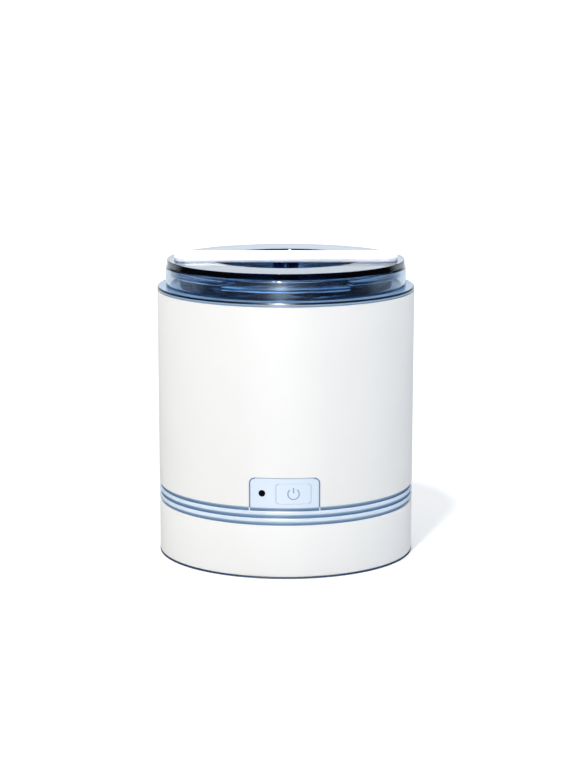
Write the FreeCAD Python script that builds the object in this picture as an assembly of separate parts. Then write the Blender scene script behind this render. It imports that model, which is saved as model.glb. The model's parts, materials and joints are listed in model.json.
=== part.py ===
import FreeCAD, Part
import math
import os

V = FreeCAD.Vector

# Ultrasonic jewelry cleaner, in millimetres.
# Z is up from the table, the front with the button faces -Y, and Z is the axis of the round body.

# Outer body, from the table up
BASE_EDGE_Z = 1.1
BASE_H = 22.64
BAND_H = 8.06
HOUSING_H = 88.0
BODY_R = 58.0
FOOT_TAPER = 0.47
WALL = 2.4
EDGE = 0.3
ROUND_STEPS = 3

# Accent band: two raised ribs between three grooves
GROOVE_W = 1.65
GROOVE_DEPTH = 0.9
TICK_W = 0.5
LIP_T = 2.0
LIP_H = 2.5
LIP_GAP = 0.15

# Control panel, a tab in a notch at the lower edge of the upper housing
PANEL_X = -0.55
PANEL_W = 30.4
PANEL_H = 13.0
PANEL_CORNER = 2.2
PANEL_GAP = 0.3
PANEL_FLANGE = 1.6
PANEL_FLANGE_T = 1.4

# Power button and its travel
BUTTON_X = 3.35
BUTTON_Z = 6.3
BUTTON_W = 15.4
BUTTON_H = 8.7
BUTTON_CORNER = 1.2
BUTTON_GAP = 0.3
BUTTON_FLANGE = 1.0
BUTTON_FLANGE_T = 1.0
BUTTON_TRAVEL = 0.4
STEM_R = 2.0
STEM_L = 2.4

# Indicator beside the button
LENS_X = -10.4
LENS_Z = 6.4
LENS_R = 1.45
LENS_FIT = 0.05
LENS_SUNK = 0.12
LED_R = 1.5
LED_BASE_R = 1.9
LED_BASE_L = 1.0
LED_L = 4.4
LED_GAP = 0.3

# Switch and its board behind the panel
SWITCH_SIZE = 6.0
SWITCH_L = 3.5
PLUNGER_R = 1.7
PLUNGER_FIT = 0.1
PLUNGER_PROUD = 1.0
PLUNGER_IN = 2.0
BOARD_T = 1.6
BUTTON_BOARD_W = 28.0
BUTTON_BOARD_LOW = 1.0
BUTTON_BOARD_H = 21.0
BOARD_SCREW_SPAN = 22.0
BOARD_SCREW_DROP = 3.5
BOARD_BOSS_R = 2.6

# Screws
SCREW_R = 1.45
SCREW_HEAD_R = 2.7
SCREW_HEAD_H = 1.9
SCREW_PASS = 0.25
SCREW_BITE = 0.05
SMALL_SCREW_L = 6.0
PILOT_SPARE = 0.6
DRIVE_W = 0.8
DRIVE_SHARE = 0.6

# Posts and bosses that join the base to the upper housing
POST_R = 3.6
POST_GAP = 0.4
POST_COUNT = 4
POST_ANGLE = 45.0
POST_WEB_T = 1.8
POST_HEAD_Z = 9.0
CASE_SCREW_L = 26.0
HOUSING_BOSS_H = 20.0

# Collar ring, its neck and the guide segments on the neck
COLLAR_T = 2.0
COLLAR_INSET = 0.1
COLLAR_EDGE = 0.4
LEDGE_W = 3.8
SPIGOT_T = 1.8
SPIGOT_H = 9.0
SPIGOT_GAP = 0.2
SNAP_W = 8.0
SNAP_H = 2.0
SNAP_DEPTH = 0.9
SNAP_UP = 2.0
SNAP_COUNT = 4
NECK_H = 7.4
NECK_WALL = 2.0
GUIDE_REACH = 4.4
GUIDE_T = 1.2
GUIDE_FRONT_UP = 3.6
GUIDE_SIDE_UP = 5.2
GUIDE_HALF_ANGLE = 32.0
GUIDE_BREAK_ANGLE = 1.6
GUIDE_CLEAR = 0.3

# Tank and its gasket
TANK_WALL = 0.8
TANK_FIT = 0.3
TANK_DEPTH = 66.0
TANK_CORNER = 4.6
TANK_LIP_R = 0.7
FLANGE_INSET = 0.3
GASKET_T = 0.5

# Basket
BASKET_GAP = 3.0
BASKET_DRAFT = 1.5
BASKET_WALL = 1.6
BASKET_H = 43.8
BASKET_FOOT_H = 1.2
BASKET_FEET = 4
BASKET_FOOT_ANGLE = 45.0
BASKET_FOOT_R = 3.0
BASKET_FOOT_INSET = 4.0
BASKET_CORNER = 3.4
SLOT_COUNT = 20
SLOT_W = 2.2
SLOT_H = 26.0
SLOT_UP = 9.0
FLOOR_SLOTS = 12
FLOOR_SLOT_IN = 9.0
FLOOR_SLOT_L = 20.0
FLOOR_SLOT_W = 2.0
TAB_COUNT = 2
TAB_W = 16.0
TAB_CLEAR = 1.5
TAB_CORNER = 4.0
TAB_HOLE_R = 3.0

# Lid
SKIRT_WALL = 1.8
SKIRT_H = 8.7
LID_STEP = 0.6
LID_STEP_H = 0.45
PLATE_T = 2.7
PLATE_EDGE = 0.35
LID_RIM_W = 19.0
WELL_DEPTH = 7.0
WELL_DRAFT = 1.2
WELL_WALL = 1.8
WELL_CORNER = 1.5
LID_POST_R = 5.8

# Handle bar across the lid
BAR_HALF_W = 14.8
BAR_END_INSET = 3.1
BAR_T = 1.8
BAR_CORNER = 5.0
BAR_EDGE = 0.4
BAR_BOSS_R = 3.2
BAR_BOSS_L = 5.4
BAR_BOSS_GAP = 0.2
BAR_PIN_R = 1.3
BAR_PIN_L = 1.9
BAR_PIN_INSET = 7.4
BAR_SCREW_L = 5.6

# Transducer under the tank
FRONT_R = 19.0
FRONT_RIM = 4.0
FRONT_L = 14.0
STACK_R = 15.0
PIEZO_T = 4.0
PIEZO_BORE_R = 5.5
PIEZO_COUNT = 2
ELECTRODE_T = 0.3
ELECTRODE_TAB_W = 4.0
ELECTRODE_TAB_L = 5.0
BACK_L = 8.0
BOLT_R = 4.0
BOLT_HEAD_R = 7.0
BOLT_HEAD_H = 5.0
BOLT_IN = 9.0
WASHER_R = 8.5
WASHER_T = 1.2

# Bottom cover, feet and vents
COVER_DROP = 0.6
COVER_FLANGE_INSET = 0.8
COVER_T = 2.4
COVER_FIT = 0.2
COVER_SEAT_T = 0.6
COVER_SCREW_ANGLE = 15.0
COVER_BOSS_R = 3.0
COVER_BOSS_H = 8.0
FOOT_R = 6.0
FOOT_RECESS = 0.9
FOOT_INSET = 15.53
FOOT_COUNT = 4
FOOT_ANGLE = 60.0
VENT_COUNT = 12
VENT_IN = 12.0
VENT_L = 16.0
VENT_W = 2.0

# Driver board
STANDOFF_H = 6.0
STANDOFF_R = 3.0
STANDOFF_INSET = 6.6
DRIVER_EDGE_GAP = 0.9
TONGUE_HALF_W = 9.0

# Inlet socket at the rear
JACK_W = 9.0
JACK_L = 14.0
JACK_H = 10.0
JACK_AXIS_UP = 5.4
JACK_WALL_GAP = 0.6
JACK_NOSE_R = 4.0
JACK_NOSE_FIT = 0.2
JACK_NOSE_SUNK = 0.3
JACK_BORE_R = 2.85
JACK_BORE_L = 10.0
JACK_PIN_R = 1.0
JACK_PIN_ROOT_R = 1.6
JACK_PIN_ROOT = 2.0
JACK_PIN_SUNK = 1.5

# Parts on the driver board: places are x and y from the body axis, as shares of the board's radius
CORE_AT = (0.718, 0.0)
CORE_DEPTH = 8.0
CORE_W = 22.0
CORE_H = 18.0
CORE_WINDOW_W = 5.5
CORE_WINDOW_H = 11.0
CORE_LEG_W = 5.0
WINDING_DEPTH = 16.0
WINDING_GAP = 0.3
BULK_AT = (-0.258, 0.673)
BULK_PITCH = 9.0
BULK_R = 4.0
BULK_H = 16.0
BULK_CRIMP_UP = 2.2
BULK_CRIMP = 0.35
FILM_AT = (0.28, 0.64)
FILM_W = 17.0
FILM_T = 7.0
FILM_H = 12.0
SINK_AT = (-0.695, 0.0)
SINK_W = 26.0
SINK_H = 24.0
SINK_PLATE = 2.0
SINK_FIN_L = 6.0
SINK_FIN_T = 1.2
SINK_FINS = 6
TRANSISTOR_PITCH = 13.0
TRANSISTOR_W = 10.0
TRANSISTOR_H = 9.2
TRANSISTOR_T = 4.4
TRANSISTOR_TAB_H = 6.3
TRANSISTOR_TAB_T = 1.3
TRANSISTOR_UP = 4.0
TRANSISTOR_HOLE_R = 1.8
LEG_W = 0.8
LEG_PITCH = 2.54
CHOKE_AT = (0.337, -0.538)
CHOKE_R = 5.0
CHOKE_WIRE_R = 2.5
CHIP_AT = (-0.337, -0.606)
CHIP_W = 10.0
CHIP_D = 6.0
CHIP_H = 2.0
PLUG_AT = (0.0, -0.763)
PLUG_W = 10.0
PLUG_D = 5.0
PLUG_H = 7.0

# Leads
LEAD_R = 0.6
PANEL_LEAD_UP = 5.0
PANEL_LEAD_PITCH = 3.0
PANEL_LEADS = 3
TRANSDUCER_LEAD_OUT = 7.0
TRANSDUCER_LEAD_ANGLES = (285.0, 335.0)

# Spare length of cutting shapes, and how far a joined piece reaches into what carries it
CUT_SPARE = 1.0
ROOT = 0.5

# Heights that follow from the sizes above
BAND_Z = BASE_EDGE_Z + BASE_H
HOUSING_Z = BAND_Z + BAND_H
BODY_TOP_Z = HOUSING_Z + HOUSING_H
LEDGE_Z = BODY_TOP_Z + COLLAR_T
NECK_TOP_Z = LEDGE_Z + NECK_H
TANK_RIM_Z = NECK_TOP_Z + GASKET_T + TANK_WALL
TANK_FLOOR_Z = TANK_RIM_Z - TANK_DEPTH
PLATE_Z = LEDGE_Z + SKIRT_H + LID_STEP_H
LID_TOP_Z = PLATE_Z + PLATE_T
WELL_FLOOR_Z = LID_TOP_Z - WELL_DEPTH
WELL_UNDER_Z = WELL_FLOOR_Z - WELL_WALL
COVER_Z = BASE_EDGE_Z - COVER_DROP
COVER_TOP_Z = COVER_Z + COVER_T
COVER_SEAT_Z = COVER_TOP_Z - COVER_SEAT_T
BOARD_Z = COVER_TOP_Z + STANDOFF_H
BOARD_TOP_Z = BOARD_Z + BOARD_T
JACK_Z = BOARD_TOP_Z + JACK_AXIS_UP
PANEL_TOP_Z = HOUSING_Z + PANEL_H


def body_r(z):
    """Outer radius of the body at a height; it narrows a little towards the foot."""
    share = (BODY_TOP_Z - z) / (BODY_TOP_Z - BASE_EDGE_Z)
    return BODY_R - FOOT_TAPER * share


# Radii that follow from the sizes above
BODY_FOOT_R = BODY_R - FOOT_TAPER
COLLAR_R = BODY_R - COLLAR_INSET
SKIRT_R = COLLAR_R - LEDGE_W
SKIRT_IN_R = SKIRT_R - SKIRT_WALL
GUIDE_R = SKIRT_IN_R - GUIDE_CLEAR
NECK_R = GUIDE_R - GUIDE_REACH
NECK_IN_R = NECK_R - NECK_WALL
TANK_OUT_R = NECK_IN_R - TANK_FIT
TANK_R = TANK_OUT_R - TANK_WALL
PLATE_R = SKIRT_R - LID_STEP
HOUSING_IN_R = BODY_R - WALL
BAND_IN_R = body_r(BAND_Z) - WALL - LIP_GAP - LIP_T
POST_CIRCLE_R = BAND_IN_R - POST_GAP - POST_R
DRIVER_R = POST_CIRCLE_R - POST_R - DRIVER_EDGE_GAP
FOOT_CIRCLE_R = BODY_FOOT_R - FOOT_INSET
STANDOFF_CIRCLE_R = DRIVER_R - STANDOFF_INSET
WELL_R = PLATE_R - LID_RIM_W
WELL_FLOOR_R = WELL_R - WELL_DRAFT
BAR_END_R = PLATE_R - BAR_END_INSET
BAR_PIN_X = BAR_END_R - BAR_PIN_INSET

# Depths behind the front face, where y is negative
PANEL_MID_Z = HOUSING_Z + PANEL_H / 2
PANEL_BACK_Y = WALL + PANEL_FLANGE_T - body_r(PANEL_MID_Z)
STEM_END_Y = PANEL_BACK_Y + BUTTON_GAP + BUTTON_FLANGE_T + STEM_L
SWITCH_Y = STEM_END_Y + PLUNGER_PROUD
BUTTON_BOARD_Y = SWITCH_Y + SWITCH_L
BUTTON_MID_Z = HOUSING_Z + BUTTON_Z
LENS_MID_Z = HOUSING_Z + LENS_Z
BOARD_SCREW_Z = HOUSING_Z + BUTTON_BOARD_LOW + BUTTON_BOARD_H - BOARD_SCREW_DROP


def rounded_edges(corners, radii):
    """Edges of a closed outline whose corners are rounded by arcs where a radius is given."""
    count = len(corners)
    stops = []
    for i in range(count):
        corner = corners[i]
        if radii[i] <= 0:
            stops.append((corner, corner, None))
            continue
        back = (corners[i - 1] - corner).normalize()
        ahead = (corners[(i + 1) % count] - corner).normalize()
        half = back.getAngle(ahead) / 2
        reach = radii[i] / math.tan(half)
        to_centre = (back + ahead).normalize()
        middle = corner + to_centre * (radii[i] / math.sin(half) - radii[i])
        stops.append((corner + back * reach, corner + ahead * reach, middle))
    edges = []
    for i in range(count):
        start, end, middle = stops[i]
        if middle is not None:
            edges.append(Part.Arc(start, middle, end).toShape())
        following = stops[(i + 1) % count][0]
        if (following - end).Length > 1e-6:
            edges.append(Part.LineSegment(end, following).toShape())
    return edges


def chorded(profile):
    """Turning profile whose rounded corners, (radius, height, rounding), become a few chords."""
    count = len(profile)
    points = []
    for i in range(count):
        corner = V(profile[i][0], 0, profile[i][1])
        rounding = profile[i][2] if len(profile[i]) > 2 else 0
        if rounding <= 0:
            points.append(corner)
            continue
        before = V(profile[i - 1][0], 0, profile[i - 1][1])
        after = V(profile[(i + 1) % count][0], 0, profile[(i + 1) % count][1])
        back = (before - corner).normalize()
        ahead = (after - corner).normalize()
        half = back.getAngle(ahead) / 2
        centre = corner + (back + ahead).normalize() * (rounding / math.sin(half))
        first = corner + back * (rounding / math.tan(half)) - centre
        last = corner + ahead * (rounding / math.tan(half)) - centre
        sweep = first.getAngle(last)
        for step in range(ROUND_STEPS + 1):
            part = step / ROUND_STEPS
            arm = first * math.sin((1 - part) * sweep) + last * math.sin(part * sweep)
            points.append(centre + arm * (1 / math.sin(sweep)))
    return points


def flat_face(corners, radii=None):
    """Flat face inside an outline of points."""
    if radii is None:
        radii = [0] * len(corners)
    return Part.Face(Part.Wire(rounded_edges(corners, radii)))


def turned(profile, angle=360.0, start=0.0):
    """Solid turned about the Z axis from (radius, height) or (radius, height, rounding) points."""
    solid = flat_face(chorded(profile)).revolve(V(0, 0, 0), V(0, 0, 1), angle)
    solid.rotate(V(0, 0, 0), V(0, 0, 1), start)
    return solid


def ring(r_out, r_in, z_low, z_high):
    """Plain ring or, with no inner radius, a disc about the Z axis."""
    return turned([(r_in, z_low), (r_out, z_low), (r_out, z_high), (r_in, z_high)])


def post(r, z_low, z_high, x=0.0, y=0.0):
    """Upright cylinder."""
    return Part.makeCylinder(r, z_high - z_low, V(x, y, z_low))


def rod_y(r, y_front, y_back, x, z):
    """Cylinder that runs from front to back."""
    return Part.makeCylinder(r, y_back - y_front, V(x, y_front, z), V(0, 1, 0))


def block(x_low, x_high, y_low, y_high, z_low, z_high):
    """Rectangular block between two corners."""
    return Part.makeBox(x_high - x_low, y_high - y_low, z_high - z_low, V(x_low, y_low, z_low))


def on_board(share):
    """Point on the driver board for a place given in shares of its radius."""
    return V(share[0] * DRIVER_R, share[1] * DRIVER_R, 0)


def centred_block(at, w, d, z_low, h):
    """Block whose middle stands over a point."""
    return block(at.x - w / 2, at.x + w / 2, at.y - d / 2, at.y + d / 2, z_low, z_low + h)


def front_prism(x_low, x_high, z_low, z_high, top_round, low_round, y_front, y_back):
    """Prism that runs from front to back with rounded upper and lower corners."""
    corners = [V(x_low, y_front, z_low), V(x_high, y_front, z_low)]
    corners += [V(x_high, y_front, z_high), V(x_low, y_front, z_high)]
    face = flat_face(corners, [low_round, low_round, top_round, top_round])
    return face.extrude(V(0, y_back - y_front, 0))


def body_shell(z_low, z_high, depth_out, depth_in):
    """Ring that follows the body's taper between two depths below its outer face."""
    return turned([
        (body_r(z_low) - depth_in, z_low),
        (body_r(z_low) - depth_out, z_low),
        (body_r(z_high) - depth_out, z_high),
        (body_r(z_high) - depth_in, z_high),
    ])


def body_core(depth):
    """Whole inside of the body below a depth under its outer face."""
    return turned([
        (0, BASE_EDGE_Z),
        (body_r(BASE_EDGE_Z) - depth, BASE_EDGE_Z),
        (body_r(BODY_TOP_Z) - depth, BODY_TOP_Z),
        (0, BODY_TOP_Z),
    ])


def spun(shape, angle):
    """Copy turned about the body axis."""
    copy = shape.copy()
    copy.rotate(V(0, 0, 0), V(0, 0, 1), angle)
    return copy


def around(shape, count, start):
    """Copies spaced evenly about the body axis."""
    return [spun(shape, start + 360.0 * i / count) for i in range(count)]


def screw(length, x=0.0, y=0.0, z_seat=0.0, head_down=True):
    """Pan head screw whose head rests at z_seat, with the shank upwards or downwards."""
    side = 1 if head_down else -1
    low_head = min(z_seat, z_seat - side * SCREW_HEAD_H)
    low_shank = min(z_seat, z_seat + side * length)
    head = post(SCREW_HEAD_R, low_head, low_head + SCREW_HEAD_H, x, y)
    shank = post(SCREW_R, low_shank, low_shank + length, x, y)
    drive_low = z_seat - side * SCREW_HEAD_H - (0 if head_down else SCREW_HEAD_H / 2)
    reach = SCREW_HEAD_R * DRIVE_SHARE
    drive = block(-DRIVE_W / 2, DRIVE_W / 2, -reach, reach, 0, SCREW_HEAD_H / 2)
    cross = drive.fuse(spun(drive, 90))
    cross.translate(V(x, y, drive_low))
    return head.fuse(shank).cut(cross)


def lead(points):
    """Insulated wire, six-sided in section, along runs joined by tangent arcs."""
    edges = []
    begin = points[0]
    for i in range(1, len(points) - 1):
        corner = points[i]
        back = (points[i - 1] - corner)
        ahead = (points[i + 1] - corner)
        shorter = min(back.Length, ahead.Length)
        back.normalize()
        ahead.normalize()
        turn = math.pi - back.getAngle(ahead)
        reach = 0.45 * shorter
        radius = reach / math.tan(turn / 2)
        start = corner + back * reach
        end = corner + ahead * reach
        centre = corner + (back + ahead).normalize() * (radius / math.cos(turn / 2))
        middle = centre + (corner - centre).normalize() * radius
        edges.append(Part.LineSegment(begin, start).toShape())
        edges.append(Part.Arc(start, middle, end).toShape())
        begin = end
    edges.append(Part.LineSegment(begin, points[-1]).toShape())
    path = Part.Wire(edges)
    across = V(0, LEAD_R, 0)
    if abs((points[1] - points[0]).normalize().y) > 0.5:
        across = V(LEAD_R, 0, 0)
    heading = (points[1] - points[0]).normalize()
    corners = [points[0] + FreeCAD.Rotation(heading, 60 * i).multVec(across) for i in range(6)]
    section = Part.Wire(rounded_edges(corners, [0] * 6))
    return path.makePipeShell([section], True, True)


def wall_post(r, z_low, z_high, web_low, web_high):
    """Post on the screw circle with a web out to the wall, at angle zero."""
    stem = post(r, z_low, z_high, POST_CIRCLE_R)
    web = block(POST_CIRCLE_R, BODY_R, -POST_WEB_T / 2, POST_WEB_T / 2, web_low, web_high)
    return stem.fuse(web.common(body_core(WALL / 2)))


def upper_housing():
    """White tapered shell with screw bosses, the panel notch and the collar's snap pockets."""
    shell = turned([
        (body_r(HOUSING_Z) - WALL, HOUSING_Z),
        (body_r(HOUSING_Z) - EDGE, HOUSING_Z),
        (body_r(HOUSING_Z + EDGE), HOUSING_Z + EDGE),
        (body_r(BODY_TOP_Z - EDGE), BODY_TOP_Z - EDGE),
        (BODY_R - EDGE, BODY_TOP_Z),
        (HOUSING_IN_R, BODY_TOP_Z),
    ])
    web_z = HOUSING_Z + LIP_H + POST_GAP
    boss = wall_post(POST_R, HOUSING_Z, HOUSING_Z + HOUSING_BOSS_H, web_z, HOUSING_Z + HOUSING_BOSS_H)
    bosses = around(boss, POST_COUNT, POST_ANGLE)
    for side in (-1, 1):
        x = PANEL_X + side * BOARD_SCREW_SPAN / 2
        board_boss = rod_y(BOARD_BOSS_R, -BODY_R, BUTTON_BOARD_Y, x, BOARD_SCREW_Z)
        bosses.append(board_boss.common(body_core(WALL / 2)))
    shell = shell.fuse(bosses)
    bite = CASE_SCREW_L - (HOUSING_Z - POST_HEAD_Z) + PILOT_SPARE
    hole = post(SCREW_R + SCREW_BITE, HOUSING_Z, HOUSING_Z + bite, POST_CIRCLE_R)
    cuts = around(hole, POST_COUNT, POST_ANGLE)
    for side in (-1, 1):
        x = PANEL_X + side * BOARD_SCREW_SPAN / 2
        depth = SMALL_SCREW_L - BOARD_T + PILOT_SPARE
        cuts.append(rod_y(SCREW_R + SCREW_BITE, BUTTON_BOARD_Y - depth, BUTTON_BOARD_Y, x, BOARD_SCREW_Z))
    cuts.append(panel_outline(PANEL_GAP, -BODY_R - CUT_SPARE, PANEL_BACK_Y + CUT_SPARE, PANEL_GAP))
    pocket = block(
        HOUSING_IN_R - CUT_SPARE, HOUSING_IN_R + SNAP_DEPTH + SPIGOT_GAP,
        -SNAP_W / 2 - SPIGOT_GAP, SNAP_W / 2 + SPIGOT_GAP,
        BODY_TOP_Z - SPIGOT_H + SNAP_UP - SPIGOT_GAP,
        BODY_TOP_Z - SPIGOT_H + SNAP_UP + SNAP_H + SPIGOT_GAP,
    )
    cuts += around(pocket, SNAP_COUNT, 0)
    return shell.cut(cuts)


def panel_outline(grow, y_front, y_back, drop=0.0):
    """Prism of the panel's tab outline, grown sideways and upwards."""
    return front_prism(
        PANEL_X - PANEL_W / 2 - grow, PANEL_X + PANEL_W / 2 + grow,
        HOUSING_Z - drop, PANEL_TOP_Z + grow,
        PANEL_CORNER + grow, 0, y_front, y_back,
    )


def base_shell():
    """White lower ring with the posts that clamp the body and the bosses for the bottom cover."""
    shell = turned([
        (body_r(BASE_EDGE_Z) - WALL, BASE_EDGE_Z),
        (BODY_FOOT_R - EDGE, BASE_EDGE_Z),
        (body_r(BASE_EDGE_Z + EDGE), BASE_EDGE_Z + EDGE),
        (body_r(BAND_Z - EDGE), BAND_Z - EDGE),
        (body_r(BAND_Z) - EDGE, BAND_Z),
        (body_r(BAND_Z) - WALL, BAND_Z),
    ])
    web_top = BAND_Z - LIP_H - POST_GAP
    clamp_post = wall_post(POST_R, COVER_TOP_Z, HOUSING_Z, COVER_TOP_Z, web_top)
    boss_top = COVER_TOP_Z + COVER_BOSS_H
    boss = wall_post(COVER_BOSS_R, COVER_TOP_Z, boss_top, COVER_TOP_Z, boss_top)
    shell = shell.fuse(
        around(clamp_post, POST_COUNT, POST_ANGLE) + around(boss, POST_COUNT, COVER_SCREW_ANGLE)
    )
    head_bore = post(SCREW_HEAD_R + SCREW_PASS, COVER_TOP_Z, POST_HEAD_Z, POST_CIRCLE_R)
    shank_bore = post(SCREW_R + SCREW_PASS, POST_HEAD_Z, HOUSING_Z, POST_CIRCLE_R)
    pilot_top = COVER_SEAT_Z + SMALL_SCREW_L + PILOT_SPARE
    pilot = post(SCREW_R + SCREW_BITE, COVER_TOP_Z, pilot_top, POST_CIRCLE_R)
    cuts = around(head_bore, POST_COUNT, POST_ANGLE) + around(shank_bore, POST_COUNT, POST_ANGLE)
    cuts += around(pilot, POST_COUNT, COVER_SCREW_ANGLE)
    cuts.append(rod_y(JACK_NOSE_R + JACK_NOSE_FIT, 0, BODY_R + CUT_SPARE, 0, JACK_Z))
    return shell.cut(cuts)


def accent_band():
    """Pale ring with two raised ribs, two ticks under the panel's sides and a lip into each shell."""
    core = body_r(BAND_Z) - GROOVE_DEPTH
    lip_r = body_r(BAND_Z) - WALL - LIP_GAP
    rib_w = (BAND_H - 3 * GROOVE_W) / 2
    profile = [(BAND_IN_R, BAND_Z - LIP_H), (lip_r, BAND_Z - LIP_H), (lip_r, BAND_Z), (core, BAND_Z)]
    for i in range(2):
        low = BAND_Z + GROOVE_W + i * (GROOVE_W + rib_w)
        high = low + rib_w
        profile += [(core, low), (body_r(low) - EDGE, low), (body_r(low + EDGE), low + EDGE)]
        profile += [(body_r(high - EDGE), high - EDGE), (body_r(high) - EDGE, high), (core, high)]
    profile += [(core, HOUSING_Z), (lip_r, HOUSING_Z), (lip_r, HOUSING_Z + LIP_H)]
    profile += [(BAND_IN_R, HOUSING_Z + LIP_H)]
    band = turned(profile)
    gap = PANEL_FLANGE + PANEL_GAP
    notch = block(
        PANEL_X - PANEL_W / 2 - gap, PANEL_X + PANEL_W / 2 + gap,
        -BODY_R, 0, HOUSING_Z, HOUSING_Z + LIP_H + CUT_SPARE,
    )
    band = band.cut(notch)
    upper_groove = body_shell(HOUSING_Z - GROOVE_W, HOUSING_Z, EDGE, GROOVE_DEPTH + ROOT)
    ticks = []
    for side in (-1, 1):
        x = PANEL_X + side * (PANEL_W + PANEL_GAP) / 2
        bar = block(x - TICK_W / 2, x + TICK_W / 2, -BODY_R, 0, HOUSING_Z - GROOVE_W, HOUSING_Z)
        ticks.append(bar.common(upper_groove))
    return band.fuse(ticks)


def control_panel():
    """Pale tab that fills the notch, with a retaining flange, the button well and the lens hole."""
    tab = body_shell(HOUSING_Z, PANEL_TOP_Z, 0, WALL + PANEL_FLANGE_T / 2)
    tab = tab.common(panel_outline(0, -BODY_R - CUT_SPARE, 0))
    flange_top = PANEL_TOP_Z + PANEL_FLANGE
    flange = body_shell(HOUSING_Z, flange_top, WALL, WALL + PANEL_FLANGE_T)
    flange = flange.common(panel_outline(PANEL_FLANGE, -BODY_R - CUT_SPARE, 0))
    panel = tab.fuse(flange)
    opening = button_outline(BUTTON_GAP, -BODY_R - CUT_SPARE, 0)
    lens_hole = rod_y(LENS_R + LENS_FIT, -BODY_R - CUT_SPARE, 0, LENS_X, LENS_MID_Z)
    return panel.cut([opening, lens_hole]).removeSplitter()


def button_outline(grow, y_front, y_back):
    """Prism of the button's outline, grown all round."""
    return front_prism(
        BUTTON_X - BUTTON_W / 2 - grow, BUTTON_X + BUTTON_W / 2 + grow,
        BUTTON_MID_Z - BUTTON_H / 2 - grow, BUTTON_MID_Z + BUTTON_H / 2 + grow,
        BUTTON_CORNER + grow, BUTTON_CORNER + grow, y_front, y_back,
    )


def power_button():
    """Button cap that follows the panel's curve, with its stop flange and stem."""
    stop = WALL + PANEL_FLANGE_T + BUTTON_GAP
    z_low = HOUSING_Z - CUT_SPARE
    z_high = PANEL_TOP_Z + CUT_SPARE
    cap = body_shell(z_low, z_high, 0, stop + BUTTON_FLANGE_T)
    cap = cap.common(button_outline(0, -BODY_R - CUT_SPARE, 0))
    flange = body_shell(z_low, z_high, stop, stop + BUTTON_FLANGE_T)
    flange = flange.common(button_outline(BUTTON_FLANGE, -BODY_R - CUT_SPARE, 0))
    stem = rod_y(STEM_R, PANEL_BACK_Y, STEM_END_Y, BUTTON_X, BUTTON_MID_Z)
    return cap.fuse([flange, stem])


def indicator_lens():
    """Dark light guide that ends a little below the panel's face."""
    guide = rod_y(LENS_R, -BODY_R, BUTTON_BOARD_Y - LED_L - LED_GAP, LENS_X, LENS_MID_Z)
    return guide.common(body_core(LENS_SUNK))


def indicator_led():
    """Round lamp with a flanged foot on the button board."""
    foot = rod_y(LED_BASE_R, BUTTON_BOARD_Y - LED_BASE_L, BUTTON_BOARD_Y, LENS_X, LENS_MID_Z)
    straight_y = BUTTON_BOARD_Y - LED_L + LED_R
    body = rod_y(LED_R, straight_y, BUTTON_BOARD_Y, LENS_X, LENS_MID_Z)
    dome = Part.makeSphere(LED_R, V(LENS_X, straight_y, LENS_MID_Z))
    return foot.fuse([body, dome])


def button_board():
    """Small upright board behind the panel."""
    low = HOUSING_Z + BUTTON_BOARD_LOW
    board = block(
        PANEL_X - BUTTON_BOARD_W / 2, PANEL_X + BUTTON_BOARD_W / 2,
        BUTTON_BOARD_Y, BUTTON_BOARD_Y + BOARD_T, low, low + BUTTON_BOARD_H,
    )
    holes = []
    for side in (-1, 1):
        x = PANEL_X + side * BOARD_SCREW_SPAN / 2
        y_back = BUTTON_BOARD_Y + BOARD_T
        holes.append(rod_y(SCREW_R + SCREW_PASS, BUTTON_BOARD_Y, y_back, x, BOARD_SCREW_Z))
    return board.cut(holes)


def button_board_screws():
    """Two screws from behind into the housing's board bosses."""
    screws = []
    for side in (-1, 1):
        item = screw(SMALL_SCREW_L)
        item.rotate(V(0, 0, 0), V(1, 0, 0), 90)
        x = PANEL_X + side * BOARD_SCREW_SPAN / 2
        item.translate(V(x, BUTTON_BOARD_Y + BOARD_T, BOARD_SCREW_Z))
        screws.append(item)
    return Part.makeCompound(screws)


def switch_body():
    """Square push switch with the bore its plunger slides in."""
    half = SWITCH_SIZE / 2
    case = block(
        BUTTON_X - half, BUTTON_X + half, SWITCH_Y, BUTTON_BOARD_Y, BUTTON_MID_Z - half, BUTTON_MID_Z + half
    )
    bore_end = SWITCH_Y + PLUNGER_IN + BUTTON_TRAVEL + PLUNGER_FIT
    return case.cut(rod_y(PLUNGER_R + PLUNGER_FIT, SWITCH_Y, bore_end, BUTTON_X, BUTTON_MID_Z))


def switch_plunger():
    """Plunger that the button's stem pushes into the switch."""
    return rod_y(PLUNGER_R, STEM_END_Y, SWITCH_Y + PLUNGER_IN, BUTTON_X, BUTTON_MID_Z)


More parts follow.
